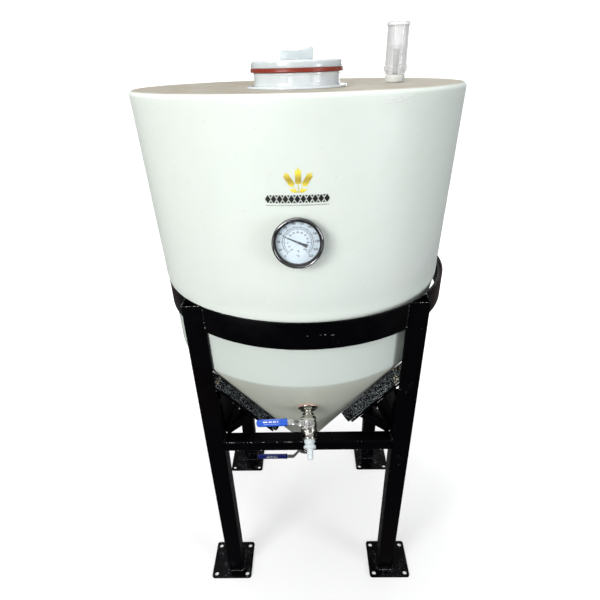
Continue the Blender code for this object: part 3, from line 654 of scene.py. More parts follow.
def rounded(width, depth, radius, steps=6):
    outline = []
    for quarter, (sx, sy) in enumerate(((1, 1), (-1, 1), (-1, -1), (1, -1))):
        for step in range(steps + 1):
            angle = math.pi / 2 * (quarter + step / steps)
            outline.append((sx * (width / 2 - radius) + radius * math.cos(angle),
                            sy * (depth / 2 - radius) + radius * math.sin(angle)))
    return outline


def square_tube(width, depth, low, high, ends=0.0006):
    """A hollow square tube with round corners and slightly broken ends."""
    outer = rounded(width, depth, 0.0032)
    inner = rounded(width - 2 * TUBE_WALL, depth - 2 * TUBE_WALL, 0.0012)
    small = rounded(width - 2 * ends, depth - 2 * ends, 0.0032 - ends)
    bm = bmesh.new()
    levels = ((small, low), (outer, low + ends), (outer, high - ends), (small, high), (inner, high),
              (inner, low))
    loops = [[bm.verts.new((x, y, z)) for x, y in outline] for outline, z in levels]
    for first, second in zip(loops, loops[1:] + loops[:1]):
        for here in range(len(outer)):
            after = (here + 1) % len(outer)
            bm.faces.new((first[here], first[after], second[after], second[here]))
    return bm


def hexagon(across_corners):
    return [(across_corners / 2 * math.cos(math.radians(60 * n)),
             across_corners / 2 * math.sin(math.radians(60 * n))) for n in range(6)]


def chamfered_hex(across, low, high, chamfer=0.0012):
    """A hexagon nut shape: its corners are turned down at both ends, as on real hexes."""
    bm = prism(hexagon(across), low, high)
    bmesh.ops.subdivide_edges(bm, edges=rims(bm, 2), cuts=9, use_grid_fill=False)
    flat = across / 2 * math.cos(math.radians(30))
    for vert in bm.verts:
        over = math.hypot(vert.co.x, vert.co.y) - flat
        drop = max(0.0, over) / (across / 2 - flat) * chamfer
        vert.co.z += drop if vert.co.z < (low + high) / 2 else -drop
    return bevelled(bm, [e for e in bm.edges if e.calc_face_angle(0) > 0.5], 0.0003, 2)


def merged(parts):
    """Put several (bmesh, matrix) together as loose parts of one bmesh."""
    whole = bmesh.new()
    for bm, place in parts:
        bmesh.ops.recalc_face_normals(bm, faces=bm.faces)
        if place is not None:
            bmesh.ops.transform(bm, matrix=place, verts=bm.verts)
        mesh = bpy.data.meshes.new("part")
        bm.to_mesh(mesh)
        bm.free()
        whole.from_mesh(mesh)
        bpy.data.meshes.remove(mesh)
    return whole


def swept(path, radii, segments=10, capped=True):
    """A round bar along a path; radii is one number or one for each point."""
    points = [Vector(p) for p in path]
    if not isinstance(radii, (list, tuple)):
        radii = [radii] * len(points)
    bm = bmesh.new()
    side = None
    loops = []
    for index, point in enumerate(points):
        along = (points[min(index + 1, len(points) - 1)] - points[max(index - 1, 0)]).normalized()
        if side is None:
            side = along.orthogonal().normalized()
        side = (side - along * side.dot(along)).normalized()
        up = along.cross(side)
        loops.append([bm.verts.new(point + radii[index] * (math.cos(a) * side + math.sin(a) * up))
                      for a in (2 * math.pi * n / segments for n in range(segments))])
    for first, second in zip(loops, loops[1:]):
        for here in range(segments):
            after = (here + 1) % segments
            bm.faces.new((first[here], first[after], second[after], second[here]))
    if capped:
        bm.faces.new(loops[0][::-1])
        bm.faces.new(loops[-1])
    return bm


def bead(start, end, radius, seed):
    """A weld bead: overlapping lumps along a line, each a little different."""
    draw = random.Random(seed)
    start, end = Vector(start), Vector(end)
    length = (end - start).length
    count = max(12, int(length / 0.0011))
    pitch = 0.0042
    path, radii = [], []
    for index in range(count + 1):
        t = index / count
        wave = abs(math.sin(math.pi * t * length / pitch))
        taper = min(1.0, 6 * min(t, 1 - t) * length / 0.02 + 0.25)
        wander = Vector([draw.uniform(-1, 1) for _ in range(3)]) * radius * 0.10
        path.append(start.lerp(end, t) + wander)
        radii.append(radius * taper * (0.72 + 0.28 * wave) * draw.uniform(0.92, 1.08))
    return swept(path, radii, 10)


# ---------------------------------------------------------------- stand
def corner_direction(sx, sy):
    x = STAND_AT.x + sx * LEG_INSIDE - TANK_AT.x
    y = STAND_AT.y + sy * LEG_INSIDE - TANK_AT.y
    return math.atan2(y, x)


def make_ring():
    inner = RING_R - RING_THICK
    outline = [(RING_R, RING_TOP), (RING_R, RING_LOW), (inner, RING_LOW), (inner, RING_TOP)]
    fixed(solid_lathe(outline, 0.0009, FINE), "ring_band", "ring",
          ["support_ring"], STAND)


def make_leg(corner, sx, sy):
    name = f"leg_{corner}"
    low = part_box(name)[0].z
    place = STAND @ shift(sx * LEG_MIDDLE, sy * LEG_MIDDLE, 0)
    leg = fixed(square_tube(TUBE, TUBE, low, RING_TOP), f"{name}_tube", "paint",
                [name], place)
    carve(leg, [(rod(COPE_R, ARM_TOP + 0.002, RING_TOP + 0.02, FINE), STAND),
                (rod(RING_R + GAP, RING_LOW - GAP, RING_TOP + 0.03, FINE), STAND)])


def make_foot_plate(corner, sx, sy):
    name = f"foot_plate_{corner}"
    place = STAND @ shift(sx * PLATE_X, sy * PLATE_Y, 0)
    plate = fixed(prism(rounded(PLATE, PLATE, 0.0065, 8), 0, PLATE_THICK, 0.0007), f"{name}_steel",
                  "paint", [name], place)
    reach_out = PLATE / 2 - HOLE_INSET
    holes = []
    for hx, hy in SQUARE:
        at = place @ shift(hx * reach_out, hy * reach_out, 0)
        profile = [(0, -0.001), (HOLE_R + 0.0006, -0.001), (HOLE_R, 0.0006),
                   (HOLE_R, PLATE_THICK - 0.0006), (HOLE_R + 0.0012, PLATE_THICK + 0.0006),
                   (0, PLATE_THICK + 0.0006)]
        holes.append((turned(profile, 40), at))
    carve(plate, holes)


def softened(node, name, width):
    """A CAD solid of the stand with its arrises rounded."""
    bm = bmesh.new()
    bm.from_mesh(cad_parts[node].data)
    bmesh.ops.remove_doubles(bm, verts=bm.verts, dist=1e-5)
    bmesh.ops.dissolve_limit(bm, angle_limit=math.radians(2), verts=bm.verts, edges=bm.edges)
    made = fixed(bm, name, "paint", [node])
    step = made.modifiers.new("arris", "BEVEL")
    step.width = width
    step.segments = 3
    step.limit_method = "ANGLE"
    step.angle_limit = math.radians(35)
    shaded(baked(made), 40)


def make_bars():
    span = 2 * (LEG_INSIDE - GAP)
    offset = LEG_OUTSIDE - BAR_DEPTH / 2
    height = BAR_TOP - BAR_HEIGHT / 2
    across = {"front": (0, -offset, 0), "rear": (0, offset, 0),
              "left": (-offset, 0, 90), "right": (offset, 0, 90)}
    for name, (x, y, turn) in across.items():
        place = STAND @ shift(x, y, height) @ spin(turn, "Z") @ spin(90, "Y")
        fixed(square_tube(BAR_HEIGHT, BAR_DEPTH, -span / 2, span / 2), f"bar_{name}_tube", "paint",
              [f"cross_bar_{name}"], place)


def leg_welds(corner, sx, sy):
    """Beads round the leg's foot, down its seams with the ring, and at the bars."""
    half = TUBE / 2 + 0.0006
    x, y = sx * LEG_MIDDLE, sy * LEG_MIDDLE
    floor = PLATE_THICK + 0.0008
    ring_x = sx * (LEG_INSIDE + 0.0002)
    ring_y = sy * math.sqrt(RING_R ** 2 - ring_x ** 2)
    beads = []
    for (ax, ay), (bx, by) in zip(SQUARE, SQUARE[1:] + SQUARE[:1]):
        beads.append(((x + ax * half, y + ay * half, floor), (x + bx * half, y + by * half, floor),
                      0.0026))
    beads.append(((ring_x, ring_y, RING_TOP - 0.002), (ring_x, ring_y, RING_LOW + 0.002), 0.0016))
    beads.append(((ring_y * sx * sy, ring_x * sx * sy, RING_TOP - 0.002),
                  (ring_y * sx * sy, ring_x * sx * sy, RING_LOW + 0.002), 0.0016))
    inside = sx * (LEG_INSIDE - 0.0004)
    face = sy * (LEG_OUTSIDE + 0.0002)
    for edge in (BAR_TOP - BAR_HEIGHT, BAR_TOP):
        beads.append(((inside, face, edge), (inside, face - sy * BAR_DEPTH, edge), 0.0018))
        beads.append(((face * sx * sy, inside * sx * sy, edge),
                      ((face - sy * BAR_DEPTH) * sx * sy, inside * sx * sy, edge), 0.0018))
    parts = [(bead(start, end, size, f"{corner}{number}"), None)
             for number, (start, end, size) in enumerate(beads)]
    fixed(merged(parts), f"welds_{corner}", "weld", (), STAND, 60)


def chip_line(start, end, width, seed, share=0.72):
    """Broken flat flakes of bare metal along an arris; share is how much of it is bare."""
    draw = random.Random(seed)
    start, end = Vector(start), Vector(end)
    along = (end - start).normalized()
    length = (end - start).length
    flakes = []
    at = 0.0
    while at < length:
        run = draw.uniform(0.0010, 0.0048)
        if draw.random() < share:
            size = width * draw.uniform(0.5, 1.1)
            path = [start + along * (at + run * t) for t in (0, 0.3, 0.7, 1)]
            radii = [size * 0.35, size * draw.uniform(0.7, 1), size * draw.uniform(0.6, 1),
                     size * 0.3]
            flakes.append((swept(path, radii, 6), None))
        at += run + draw.uniform(0.0002, 0.0020)
    return merged(flakes)


def leg_chips(corner, sx, sy):
    """Paint knocked off along the leg's open top and beside the ring seam."""
    out = LEG_OUTSIDE - 0.0008
    top = RING_TOP - 0.0002
    inner = LEG_INSIDE + 0.0015
    outer = (sx * out, sy * out, top)
    parts = [(chip_line(outer, (sx * inner, sy * out, top), 0.0007, f"{corner}a"), None),
             (chip_line(outer, (sx * out, sy * inner, top), 0.0006, f"{corner}b"), None)]
    seam_x = sx * (LEG_INSIDE + 0.0004)
    seam_y = sy * (math.sqrt(RING_R ** 2 - seam_x ** 2) + 0.0012)
    parts.append((chip_line((seam_x, seam_y, RING_TOP - 0.004), (seam_x, seam_y, RING_LOW + 0.006),
                            0.0006, f"{corner}c", 0.25), None))
    foot_y = sy * (LEG_OUTSIDE + 0.0022)
    ends = (sx * LEG_MIDDLE - TUBE * 0.36, sx * LEG_MIDDLE + TUBE * 0.36)
    parts.append((chip_line((ends[0], foot_y, 0.0078), (ends[1], foot_y, 0.0078), 0.0011,
                            f"{corner}d", 0.6), None))
    fixed(merged(parts), f"chips_{corner}", "chipped", (), STAND, 60)


def make_front_chips():
    """Knocks along the front bar's upper arris, and a few on the ring's face."""
    y, z = -LEG_OUTSIDE + 0.0005, BAR_TOP - 0.0006
    parts = [(chip_line((-0.172, y, z), (-0.138, y, z), 0.0010, "bar a", 0.6), None),
             (chip_line((-0.135, y, z), (-0.035, y, z), 0.0006, "bar b", 0.4), None),
             (chip_line((-0.020, y, z), (0.150, y, z), 0.0005, "bar c", 0.10), None)]
    face = RING_R + 0.0002
    knocks = ((-20, 0.010, 0.017), (-18.5, 0.006, 0.013), (1.5, 0.010, 0.027), (5.5, 0.008, 0.028),
              (9.0, 0.005, 0.026), (-2, 0.004, 0.022))
    for number, (turn, length, height) in enumerate(knocks):
        sine, cosine = math.sin(math.radians(turn)), math.cos(math.radians(turn))
        middle_at = Vector((face * sine, -face * cosine, RING_LOW + height))
        along = Vector((cosine, sine, 0)) * length / 2
        parts.append((chip_line(middle_at - along, middle_at + along, 0.0005, f"ring{number}", 0.5),
                      None))
    fixed(merged(parts), "chips_front", "chipped", (), STAND, 60)


def radial_frame(sx, sy):
    return TANK @ Matrix.Rotation(corner_direction(sx, sy), 4, "Z")


def slope_point(radius, depth):
    return (radius + depth * math.sin(CONE_ANGLE), cone_z(radius) - depth * math.cos(CONE_ANGLE))


def make_pad(corner, sx, sy):
    """A strip of foam under the cone: flat where the cone rests on it, lumpy elsewhere."""
    length = (PAD_HIGH_R[sx] - PAD_LOW_R[sx]) / math.cos(CONE_ANGLE)
    thick = PAD_THICK[sx]
    cells_along, cells_across, cells_deep = 96, 22, 9
    bm = bmesh.new()
    bmesh.ops.create_grid(bm, x_segments=cells_along, y_segments=cells_across, size=0.5)
    raised(bm, bm.faces[:], (0, 0, -1))
    side = [e for e in bm.edges if abs(e.verts[0].co.z - e.verts[1].co.z) > 0.5]
    bmesh.ops.subdivide_edges(bm, edges=side, cuts=cells_deep)
    start = slope_point(PAD_LOW_R[sx], 0.0007)
    along = Vector((math.cos(CONE_ANGLE), 0, math.sin(CONE_ANGLE)))
    down = Vector((math.sin(CONE_ANGLE), 0, -math.cos(CONE_ANGLE)))
    salt = Vector((sx * 3.1, sy * 5.7, 0))
    for vert in bm.verts:
        u, v, w = vert.co.x + 0.5, vert.co.y * 2, -vert.co.z
        edge = min(1.0, (1 - abs(v)) / 0.18) * min(1.0, min(u, 1 - u) / 0.02)
        rough_at = Vector((u * length * 380, v * PAD_WIDTH * 190, w * thick * 380)) + salt
        crumb = noise.noise(rough_at) * 0.00045
        swell = noise.noise(Vector((u * 14, v * 1.5, w * 2)) + salt) * 0.0006
        crown = (1 - v * v) * 0.0004
        depth = 0.0004 * (1 - edge) * (1 - 2 * w) + w * (thick - 0.0008 + crown)
        half = PAD_WIDTH / 2 - 0.0012 - 0.0010 * (2 * w - 1) ** 2
        across = v * half + (crumb + swell) * (1 if abs(v) > 0.98 else 0) * (1 if v > 0 else -1)
        depth -= abs(crumb) * (1 if w > 0.98 else 0)
        reach_along = u * (length - 0.003) + 0.0015 + (crumb * 3 if u < 0.01 or u > 0.99 else 0)
        vert.co = (Vector((start[0], 0, start[1])) + along * reach_along + down * (depth + 0.0003)
                   + Vector((0, across, 0)))
    pad = fixed(bm, f"pad_{corner}_foam", "foam",
                [f"cradle_pad_{corner}"], radial_frame(sx, sy), 180)


def make_heel(corner, sx, sy):
    """The arm's plate runs on under the pad into the notch in the leg."""
    upper = PAD_THICK[sx] + 0.0012
    lower = upper + 0.0044
    end = COPE_R + sx * OFF_CENTRE - 0.0012
    low_z = ARM_TOP - 0.0040
    view = []
    for depth in (upper, lower):
        radius = (low_z - APEX_Z + depth * math.cos(CONE_ANGLE)) / CONE_SLOPE
        view.append(slope_point(radius, depth))
    for depth in (lower, upper):
        view.append(slope_point(end - depth * math.sin(CONE_ANGLE), depth))
    bm = prism(view, -0.0175, 0.0175, 0.0008)
    place = radial_frame(sx, sy) @ spin(90, "X")
    fixed(bm, f"arm_{corner}_heel", "paint", (), place)


def make_packing():
    """A black strip in the ring where the tank sits off its centre: a dark sheet painted in as the gap's
    shade.
    """
    inner = RING_R - RING_THICK - 0.0004
    tank_r = wall_r(SHOULDER_LOW) + 0.0008
    turns = [math.radians(turn) for turn in range(-88, 89, 4)]
    outline = [(inner * math.cos(turn), inner * math.sin(turn)) for turn in turns]
    outline += [(TANK.translation.x + tank_r * math.cos(turn), tank_r * math.sin(turn))
                for turn in reversed(turns)]
    fixed(prism(outline, RING_LOW + 0.004, RING_TOP - 0.004, 0.0004), "ring_gap_shade_strip", "rubber",
          (), STAND)


def torn_tufts(corner, sx, sy):
    """Yellowish torn foam and glue at the upper end of a pad."""
    draw = random.Random(f"tuft{corner}")
    parts = []
    for number in range(16):
        radius = draw.uniform(PAD_HIGH_R[sx] - 0.016, PAD_HIGH_R[sx] - 0.001)
        depth = draw.uniform(0.001, PAD_THICK[sx] - 0.003)
        side = draw.choice((-1, 1)) * (PAD_WIDTH / 2 - draw.uniform(0.0002, 0.0012))
        if number % 3 == 0:
            radius, side = PAD_HIGH_R[sx] - 0.0012, draw.uniform(-0.015, 0.015)
        x, z = slope_point(radius, depth)
        size = draw.uniform(0.0008, 0.0019)
        tuft = bmesh.new()
        bmesh.ops.create_icosphere(tuft, subdivisions=2, radius=size)
        for vert in tuft.verts:
            vert.co *= 1 + 0.5 * noise.noise(vert.co * 900 + Vector((number, 0, 0)))
        stretch = Matrix.Diagonal((draw.uniform(0.8, 2.2), draw.uniform(0.5, 1.0),
                                   draw.uniform(0.8, 1.6), 1))
        parts.append((tuft, shift(x, side, z) @ stretch))
    fixed(merged(parts), f"torn_foam_{corner}", "torn", (),
          radial_frame(sx, sy), 180)


def make_stand():
    make_ring()
    make_bars()
    make_front_chips()
    for corner, (sx, sy) in CORNERS.items():
        make_leg(corner, sx, sy)
        make_foot_plate(corner, sx, sy)
        softened(f"cradle_arm_{corner}", f"arm_{corner}_steel", 0.0012)
        softened(f"arm_strut_{corner}", f"strut_{corner}_steel", 0.0012)
        leg_welds(corner, sx, sy)
        leg_chips(corner, sx, sy)
        make_pad(corner, sx, sy)
        torn_tufts(corner, sx, sy)
        make_heel(corner, sx, sy)
    make_packing()


# ---------------------------------------------------------------- tank
def arc(centre, radius, start, end, steps):
    angles = [math.radians(start + (end - start) * step / steps) for step in range(steps + 1)]
    return [(centre[0] + radius * math.cos(a), centre[1] + radius * math.sin(a)) for a in angles]


def tank_outline():
    rise = RIM_TOP - DECK_Z
    outer = [(MOUTH_R, DECK_Z)]
    for step in range(9):
        t = step / 8
        radius = DECK_R + t * (RIM_R - 0.009 - DECK_R)
        outer.append((radius, DECK_Z + rise * (1 - (1 - t) ** 1.8)))
    outer += arc((RIM_R - 0.007, RIM_TOP - 0.007), 0.007, 88, 0, 10)
    heights = [1.085 - 0.0245 * n for n in range(12)]
    outer += [(wall_r(z), z) for z in heights]
    drop = wall_r(SHOULDER_TOP) - BARREL_R
    for step in range(13):
        t = step / 12
        outer.append((wall_r(SHOULDER_TOP) - drop * t * t * (3 - 2 * t),
                      SHOULDER_TOP - t * (SHOULDER_TOP - SHOULDER_LOW)))
    seam = cone_z(CONE_R)
    outer += [(BARREL_R - (BARREL_R - CONE_R) * n / 4,
               SHOULDER_LOW - (SHOULDER_LOW - seam - 0.006) * n / 4) for n in range(1, 5)]
    start_r = CONE_R - 0.0050
    end_r = (CONE_END - APEX_Z) / CONE_SLOPE
    outer += [(CONE_R - 0.0002, seam + 0.0030), (CONE_R - 0.0010, seam + 0.0004),
              (CONE_R - 0.0024, seam - 0.0022)]
    radii = [start_r - (start_r - end_r) * n / 9 for n in range(10)]
    outer += [(radius, cone_z(radius)) for radius in radii]
    outer += [(OUTLET_R + 0.001, CONE_END - 0.003), (OUTLET_R, CONE_END - 0.006),
              (OUTLET_R, OUTLET_LOW + 0.001), (OUTLET_R - 0.001, OUTLET_LOW)]
    side = WALL / math.sin(CONE_ANGLE)
    inner = [(OUTLET_BORE_R, OUTLET_LOW), (OUTLET_BORE_R, cone_z(OUTLET_BORE_R + side)),
             (CONE_R - WALL, cone_z(CONE_R - WALL + side)), (BARREL_R - WALL, SHOULDER_LOW),
             (wall_r(SHOULDER_TOP) - WALL, SHOULDER_TOP), (RIM_R - WALL - 0.0002, RIM_TOP - 0.009),
             (RIM_R - 0.009, RIM_TOP - WALL - 0.0006), (DECK_R, DECK_Z - WALL),
             (MOUTH_R, DECK_Z - WALL)]
    return outer + inner


def tuck_into_ring(bm):
    """Let the wall run straight down where the off-centre ring leaves room for it."""
    offset = TANK.translation.x
    start = wall_r(SHOULDER_TOP)
    for vert in bm.verts:
        radius = math.hypot(vert.co.x, vert.co.y)
        if radius < BARREL_R - 0.001 or not SHOULDER_LOW - 0.001 < vert.co.z < SHOULDER_TOP + 0.0001:
            continue
        along = vert.co.x / radius
        clear = (math.sqrt((RING_R - RING_THICK) ** 2 - (offset ** 2) * (1 - along ** 2))
                 - offset * along)
        end = min(wall_r(SHOULDER_LOW), clear - 0.0008)
        t = (start - radius) / (start - BARREL_R)
        kept = start - (start - max(end, BARREL_R)) * t
        vert.co.x *= kept / radius
        vert.co.y *= kept / radius


def make_tank():
    """The shell, with the faint hollows and waves of a rotomoulding, tucked into the ring."""
    bm = turned(tank_outline(), FINE)
    tuck_into_ring(bm)
    for vert in bm.verts:
        radius = math.hypot(vert.co.x, vert.co.y)
        if vert.co.z > SHOULDER_TOP + 0.01 and radius > RIM_R - 0.02:
            wave = noise.noise(vert.co * 9) + 0.5 * noise.noise(vert.co * 23)
            shrink = 1 - 0.0004 * (1 + wave) / radius
            vert.co.x *= shrink
            vert.co.y *= shrink
    shell = fixed(bm, "tank_moulding", "tank", ["tank_shell"], TANK, 30)
    carve(shell, [(rod(0.0125, DECK_Z - 0.02, RIM_TOP + 0.02, 48), TANK @ shift(AIRLOCK_X, 0, 0)),
                  (rod(0.0060, -0.03, 0.03, 32), DIAL), (rod(0.0105, -0.03, 0.03, 32), RACK)], 30)


def on_wall(across, height, lift):
    """A point on the front wall: across is measured round the wall."""
    radius = wall_r(height)
    angle = across / radius
    return Vector((TANK_AT.x + (radius + lift) * math.sin(angle),
                   TANK_AT.y - (radius + lift) * math.cos(angle), height))


def printed(outlines, name, look, lift=0.0002):
    """Flat closed outlines of (across, height) laid on the wall as a film of ink."""
    bm = bmesh.new()
    for outline in outlines:
        bm.faces.new([bm.verts.new(on_wall(a, h, lift)) for a, h in outline])
    return fixed(bm, name, look)


def leaf(at, length, width, turn, steps=7):
    """A pointed oval, its foot at a point and its tip turned from upright."""
    outline = []
    for side in (1, -1):
        for step in range(steps + 1 if side > 0 else steps - 1):
            t = step / steps if side > 0 else 1 - (step + 1) / steps
            half = width / 2 * math.sin(math.pi * t ** 0.85) * side
            along = length * t
            outline.append((at[0] + along * math.sin(turn) + half * math.cos(turn),
                            at[1] + along * math.cos(turn) - half * math.sin(turn)))
    return outline


def barley_ear(foot, lean, scale):
    """One ear: a stalk, pairs of grains and a fan of awns."""
    shapes = []
    axis = Vector((math.sin(lean), math.cos(lean)))
    side = Vector((math.cos(lean), -math.sin(lean)))
    foot = Vector(foot)
    stalk = 0.0100 * scale
    half = 0.00035 * scale
    top = foot + axis * (stalk + 0.014 * scale)
    shapes.append([tuple(foot - side * half), tuple(foot + side * half), tuple(top + side * half),
                   tuple(top - side * half)])
    for row in range(5):
        at = foot + axis * (stalk + row * 0.0031 * scale)
        for hand in (-1, 1):
            shapes.append(leaf(tuple(at + side * hand * 0.0004), 0.0056 * scale, 0.0030 * scale,
                               lean + hand * math.radians(38)))
    shapes.append(leaf(tuple(top), 0.0058 * scale, 0.0028 * scale, lean))
    return shapes


def make_decal():
    """A printed ornament: gold barley ears over a dark lozenge band and a row of dashes."""
    foot = 0.9868
    ears = (barley_ear((0.0024, foot), 0.0, 1.06)
            + barley_ear((0.0008, foot), math.radians(-34), 1.02)
            + barley_ear((0.0040, foot), math.radians(34), 1.02))
    ears += [leaf((0.0024 + hand * 0.0006, foot), 0.0125, 0.0042, math.radians(hand * 72))
             for hand in (-1, 1)]
    printed(ears, "print_barley", "gold", 0.00025)
    band = []
    count = 11
    pitch = 0.0081
    middle_x, z = 0.0008, 0.9778
    for number in range(count):
        x = middle_x + (number - (count - 1) / 2) * pitch
        band.append([(x - 0.0039, z), (x, z + 0.0056), (x + 0.0039, z), (x, z - 0.0056)])
    for number in range(count - 1):
        x = middle_x + (number - (count - 2) / 2) * pitch
        for side in (1, -1):
            band.append([(x - 0.0019, z + side * 0.0052), (x, z + side * 0.0022),
                         (x + 0.0019, z + side * 0.0052)])
    printed(band, "print_lozenges", "print")
    draw = random.Random("dashes")
    dashes = []
    x = middle_x - 0.0430
    while x < middle_x + 0.0430:
        wide = draw.uniform(0.0007, 0.0016)
        dashes.append([(x, 0.9688), (x + wide, 0.9688), (x + wide, 0.9700), (x, 0.9700)])
        x += wide + draw.uniform(0.0009, 0.0022)
    printed(dashes, "print_dashes", "faded")


def make_tape_marks():
    """Fine pale creases of old tape just under the rim, below the airlock."""
    draw = random.Random("tape")
    lines = [((0.110, 1.0895), (0.158, 1.0950), -0.0030), ((0.122, 1.0955), (0.160, 1.0870), -0.0020),
             ((0.132, 1.0845), (0.163, 1.0962), 0.0015), ((0.115, 1.0950), (0.132, 1.0880), 0.0010),
             ((0.140, 1.0962), (0.154, 1.0835), 0.0012), ((0.118, 1.0915), (0.150, 1.0915), 0.0020)]
    parts = []
    for start, end, sag in lines:
        path, radii = [], []
        for step in range(25):
            t = step / 24
            across = start[0] + (end[0] - start[0]) * t
            height = start[1] + (end[1] - start[1]) * t + sag * math.sin(math.pi * t)
            path.append(on_wall(across, height + draw.uniform(-1, 1) * 0.0001, 0.0001))
            radii.append(0.00042 * math.sin(math.pi * min(max(t, 0.04), 0.96)) ** 0.5
                         * draw.uniform(0.6, 1.2))
        parts.append((swept(path, radii, 6), None))
    fixed(merged(parts), "tape_creases", "tape", (), None, 60)


# ---------------------------------------------------------------- neck, lid and airlock
def make_neck():
    seat = DECK_Z + GAP
    spigot = MOUTH_R - 0.0005
    outline = [(NECK_BORE_R, NECK_TOP), (NECK_R, NECK_TOP), (NECK_R, NECK_TOP - 0.0030),
               (NECK_R - 0.0008, NECK_TOP - 0.0042), (NECK_R - 0.0008, seat + 0.0075),
               (NECK_R, seat + 0.0060), (NECK_R, seat + 0.0035), (FLANGE_R - 0.001, seat + 0.0033),
               (FLANGE_R, seat), (spigot, seat), (spigot, DECK_Z - 0.012),
               (NECK_BORE_R, DECK_Z - 0.012)]
    collar = fixed(solid_lathe(outline, 0.0008, 160), "neck_moulding", "neck",
                   ["neck_collar"], TANK)
    notches = []
    for number in range(6):
        turn = spin(60 * number + 15, "Z")
        notches.append((prism(rounded(0.006, 0.010, 0.0015), seat - 0.001, seat + 0.004),
                        TANK @ turn @ shift(FLANGE_R + 0.0028, 0, 0)))
    carve(collar, notches)


def lug_outline():
    """Side view of the finger grip: a shallow hollow that sweeps up to a taller right horn."""
    half = 0.0278
    top = 0.0205
    left = top - 0.0042
    points = [(-half, -0.001), (half, -0.001), (half + 0.0001, top - 0.0045),
              (half - 0.0008, top - 0.0010), (half - 0.0030, top), (half - 0.0050, top - 0.0008)]
    for step in range(1, 14):
        t = step / 14
        x = (half - 0.0050) * (1 - t) - (half - 0.0030) * t
        rise = (top - 0.0008 - left) * (1 - min(1.0, t / 0.42)) ** 2
        points.append((x, left + rise - 0.0010 * math.sin(math.pi * t) ** 2))
    points += [(-half + 0.0022, left), (-half, left - 0.0018)]
    return points


def make_lid():
    base = SEAL_TOP + GAP
    top = base + LID_THICK
    outline = [(0, top - 0.0010), (0.052, top - 0.0010), (0.0535, top), (LID_R - 0.0035, top),
               (LID_R - 0.0008, top - 0.0022), (LID_R, base + 0.0040), (LID_R, base), (PLUG_R, base),
               (PLUG_R, base - 0.022), (PLUG_R - 0.004, base - 0.022), (PLUG_R - 0.004, base + 0.003),
               (0, base + 0.003)]
    lug = bmesh.new()
    face = lug.faces.new([lug.verts.new((x, 0, z)) for x, z in lug_outline()])
    raised(lug, [face], (0, 0.016, 0))
    bmesh.ops.translate(lug, verts=lug.verts, vec=(0, -0.008, top - 0.0010))
    bevelled(lug, rims(lug, 1), 0.0012, 3)
    foot = solid_lathe([(0, top - 0.001), (0.034, top - 0.001), (0.033, top + 0.0006),
                        (0, top + 0.0006)], 0.0005, 96)
    whole = merged([(solid_lathe(outline, 0.0007, 160), None), (lug, None), (foot, None)])
    piece(whole, "lid_moulding", "lid", "lid", ["lid_cap"], TANK)

    low = NECK_TOP + GAP
    middle_z = (low + SEAL_TOP) / 2
    seal = [(SEAL_R - 0.0006, low), (SEAL_R, low + 0.0012), (SEAL_R - 0.0004, middle_z),
            (SEAL_R, SEAL_TOP - 0.0012), (SEAL_R - 0.0006, SEAL_TOP), (PLUG_R + GAP, SEAL_TOP),
            (PLUG_R + GAP, low)]
    piece(solid_lathe(seal, 0.0007, 160), "seal_ring_silicone", "seal", "seal_ring",
          ["lid_seal"], TANK)


def make_airlock():
    place = TANK @ shift(AIRLOCK_X, 0, 0)
    stem, bore = 0.0045, 0.0030
    stopper = [(stem + GAP, STOPPER_TOP), (0.0150, STOPPER_TOP), (0.0166, STOPPER_TOP - 0.0014),
               (0.0166, STOPPER_TOP - 0.0034), (0.0152, STOPPER_LOW), (0.0122, STOPPER_LOW),
               (0.0112, STOPPER_LOW - 0.015), (stem + GAP, STOPPER_LOW - 0.015)]
    piece(solid_lathe(stopper, 0.0010), "stopper_moulding", "stopper", "stopper",
          ["airlock_stopper"], place)

    base = STOPPER_TOP + GAP
    rim = AIRLOCK_TOP - 0.0045
    thick = 0.0014
    body = [(AIRLOCK_R - 0.0012, rim), (AIRLOCK_R - 0.0010, base + 0.030),
            (AIRLOCK_R - 0.0006, base + 0.0130), (AIRLOCK_R + 0.0008, base + 0.0118),
            (AIRLOCK_R + 0.0006, base + 0.0060), (AIRLOCK_R - 0.0030, base), (stem + 0.0003, base),
            (stem + 0.0003, base + thick), (AIRLOCK_R - 0.0042, base + thick),
            (AIRLOCK_R - 0.0010 - thick, base + 0.0070), (AIRLOCK_R - 0.0012 - thick, rim)]
    piece(solid_lathe(body, 0.0007), "airlock_tube", "clear", "airlock",
          ["airlock_body"], place)
    riser = [(bore, STOPPER_LOW - 0.020), (stem, STOPPER_LOW - 0.020), (stem, base + 0.036),
             (bore, base + 0.036)]
    piece(solid_lathe(riser, 0.0004), "airlock_riser", "riser", "airlock", (), place)

    bell_r, low, high = 0.0120, base + 0.0060, base + 0.0420
    bell = [(0, high), (bell_r, high), (bell_r, low), (bell_r - 0.0012, low),
            (bell_r - 0.0012, high - 0.0014), (0, high - 0.0014)]
    piece(solid_lathe(bell, 0.0012), "airlock_bell_clear", "faint", "airlock_float",
          ["airlock_bell"], place)

    cap = [(0, AIRLOCK_TOP - 0.0012), (AIRLOCK_R - 0.0040, AIRLOCK_TOP - 0.0012),
           (AIRLOCK_R - 0.0030, AIRLOCK_TOP), (AIRLOCK_R, AIRLOCK_TOP), (AIRLOCK_R, rim - 0.0010),
           (AIRLOCK_R - 0.0009, rim - 0.0010), (AIRLOCK_R - 0.0009, rim + GAP), (0, rim + GAP)]
    piece(solid_lathe(cap, 0.0005), "airlock_cap_clear", "clear", "airlock_lid",
          ["airlock_cap"], place)


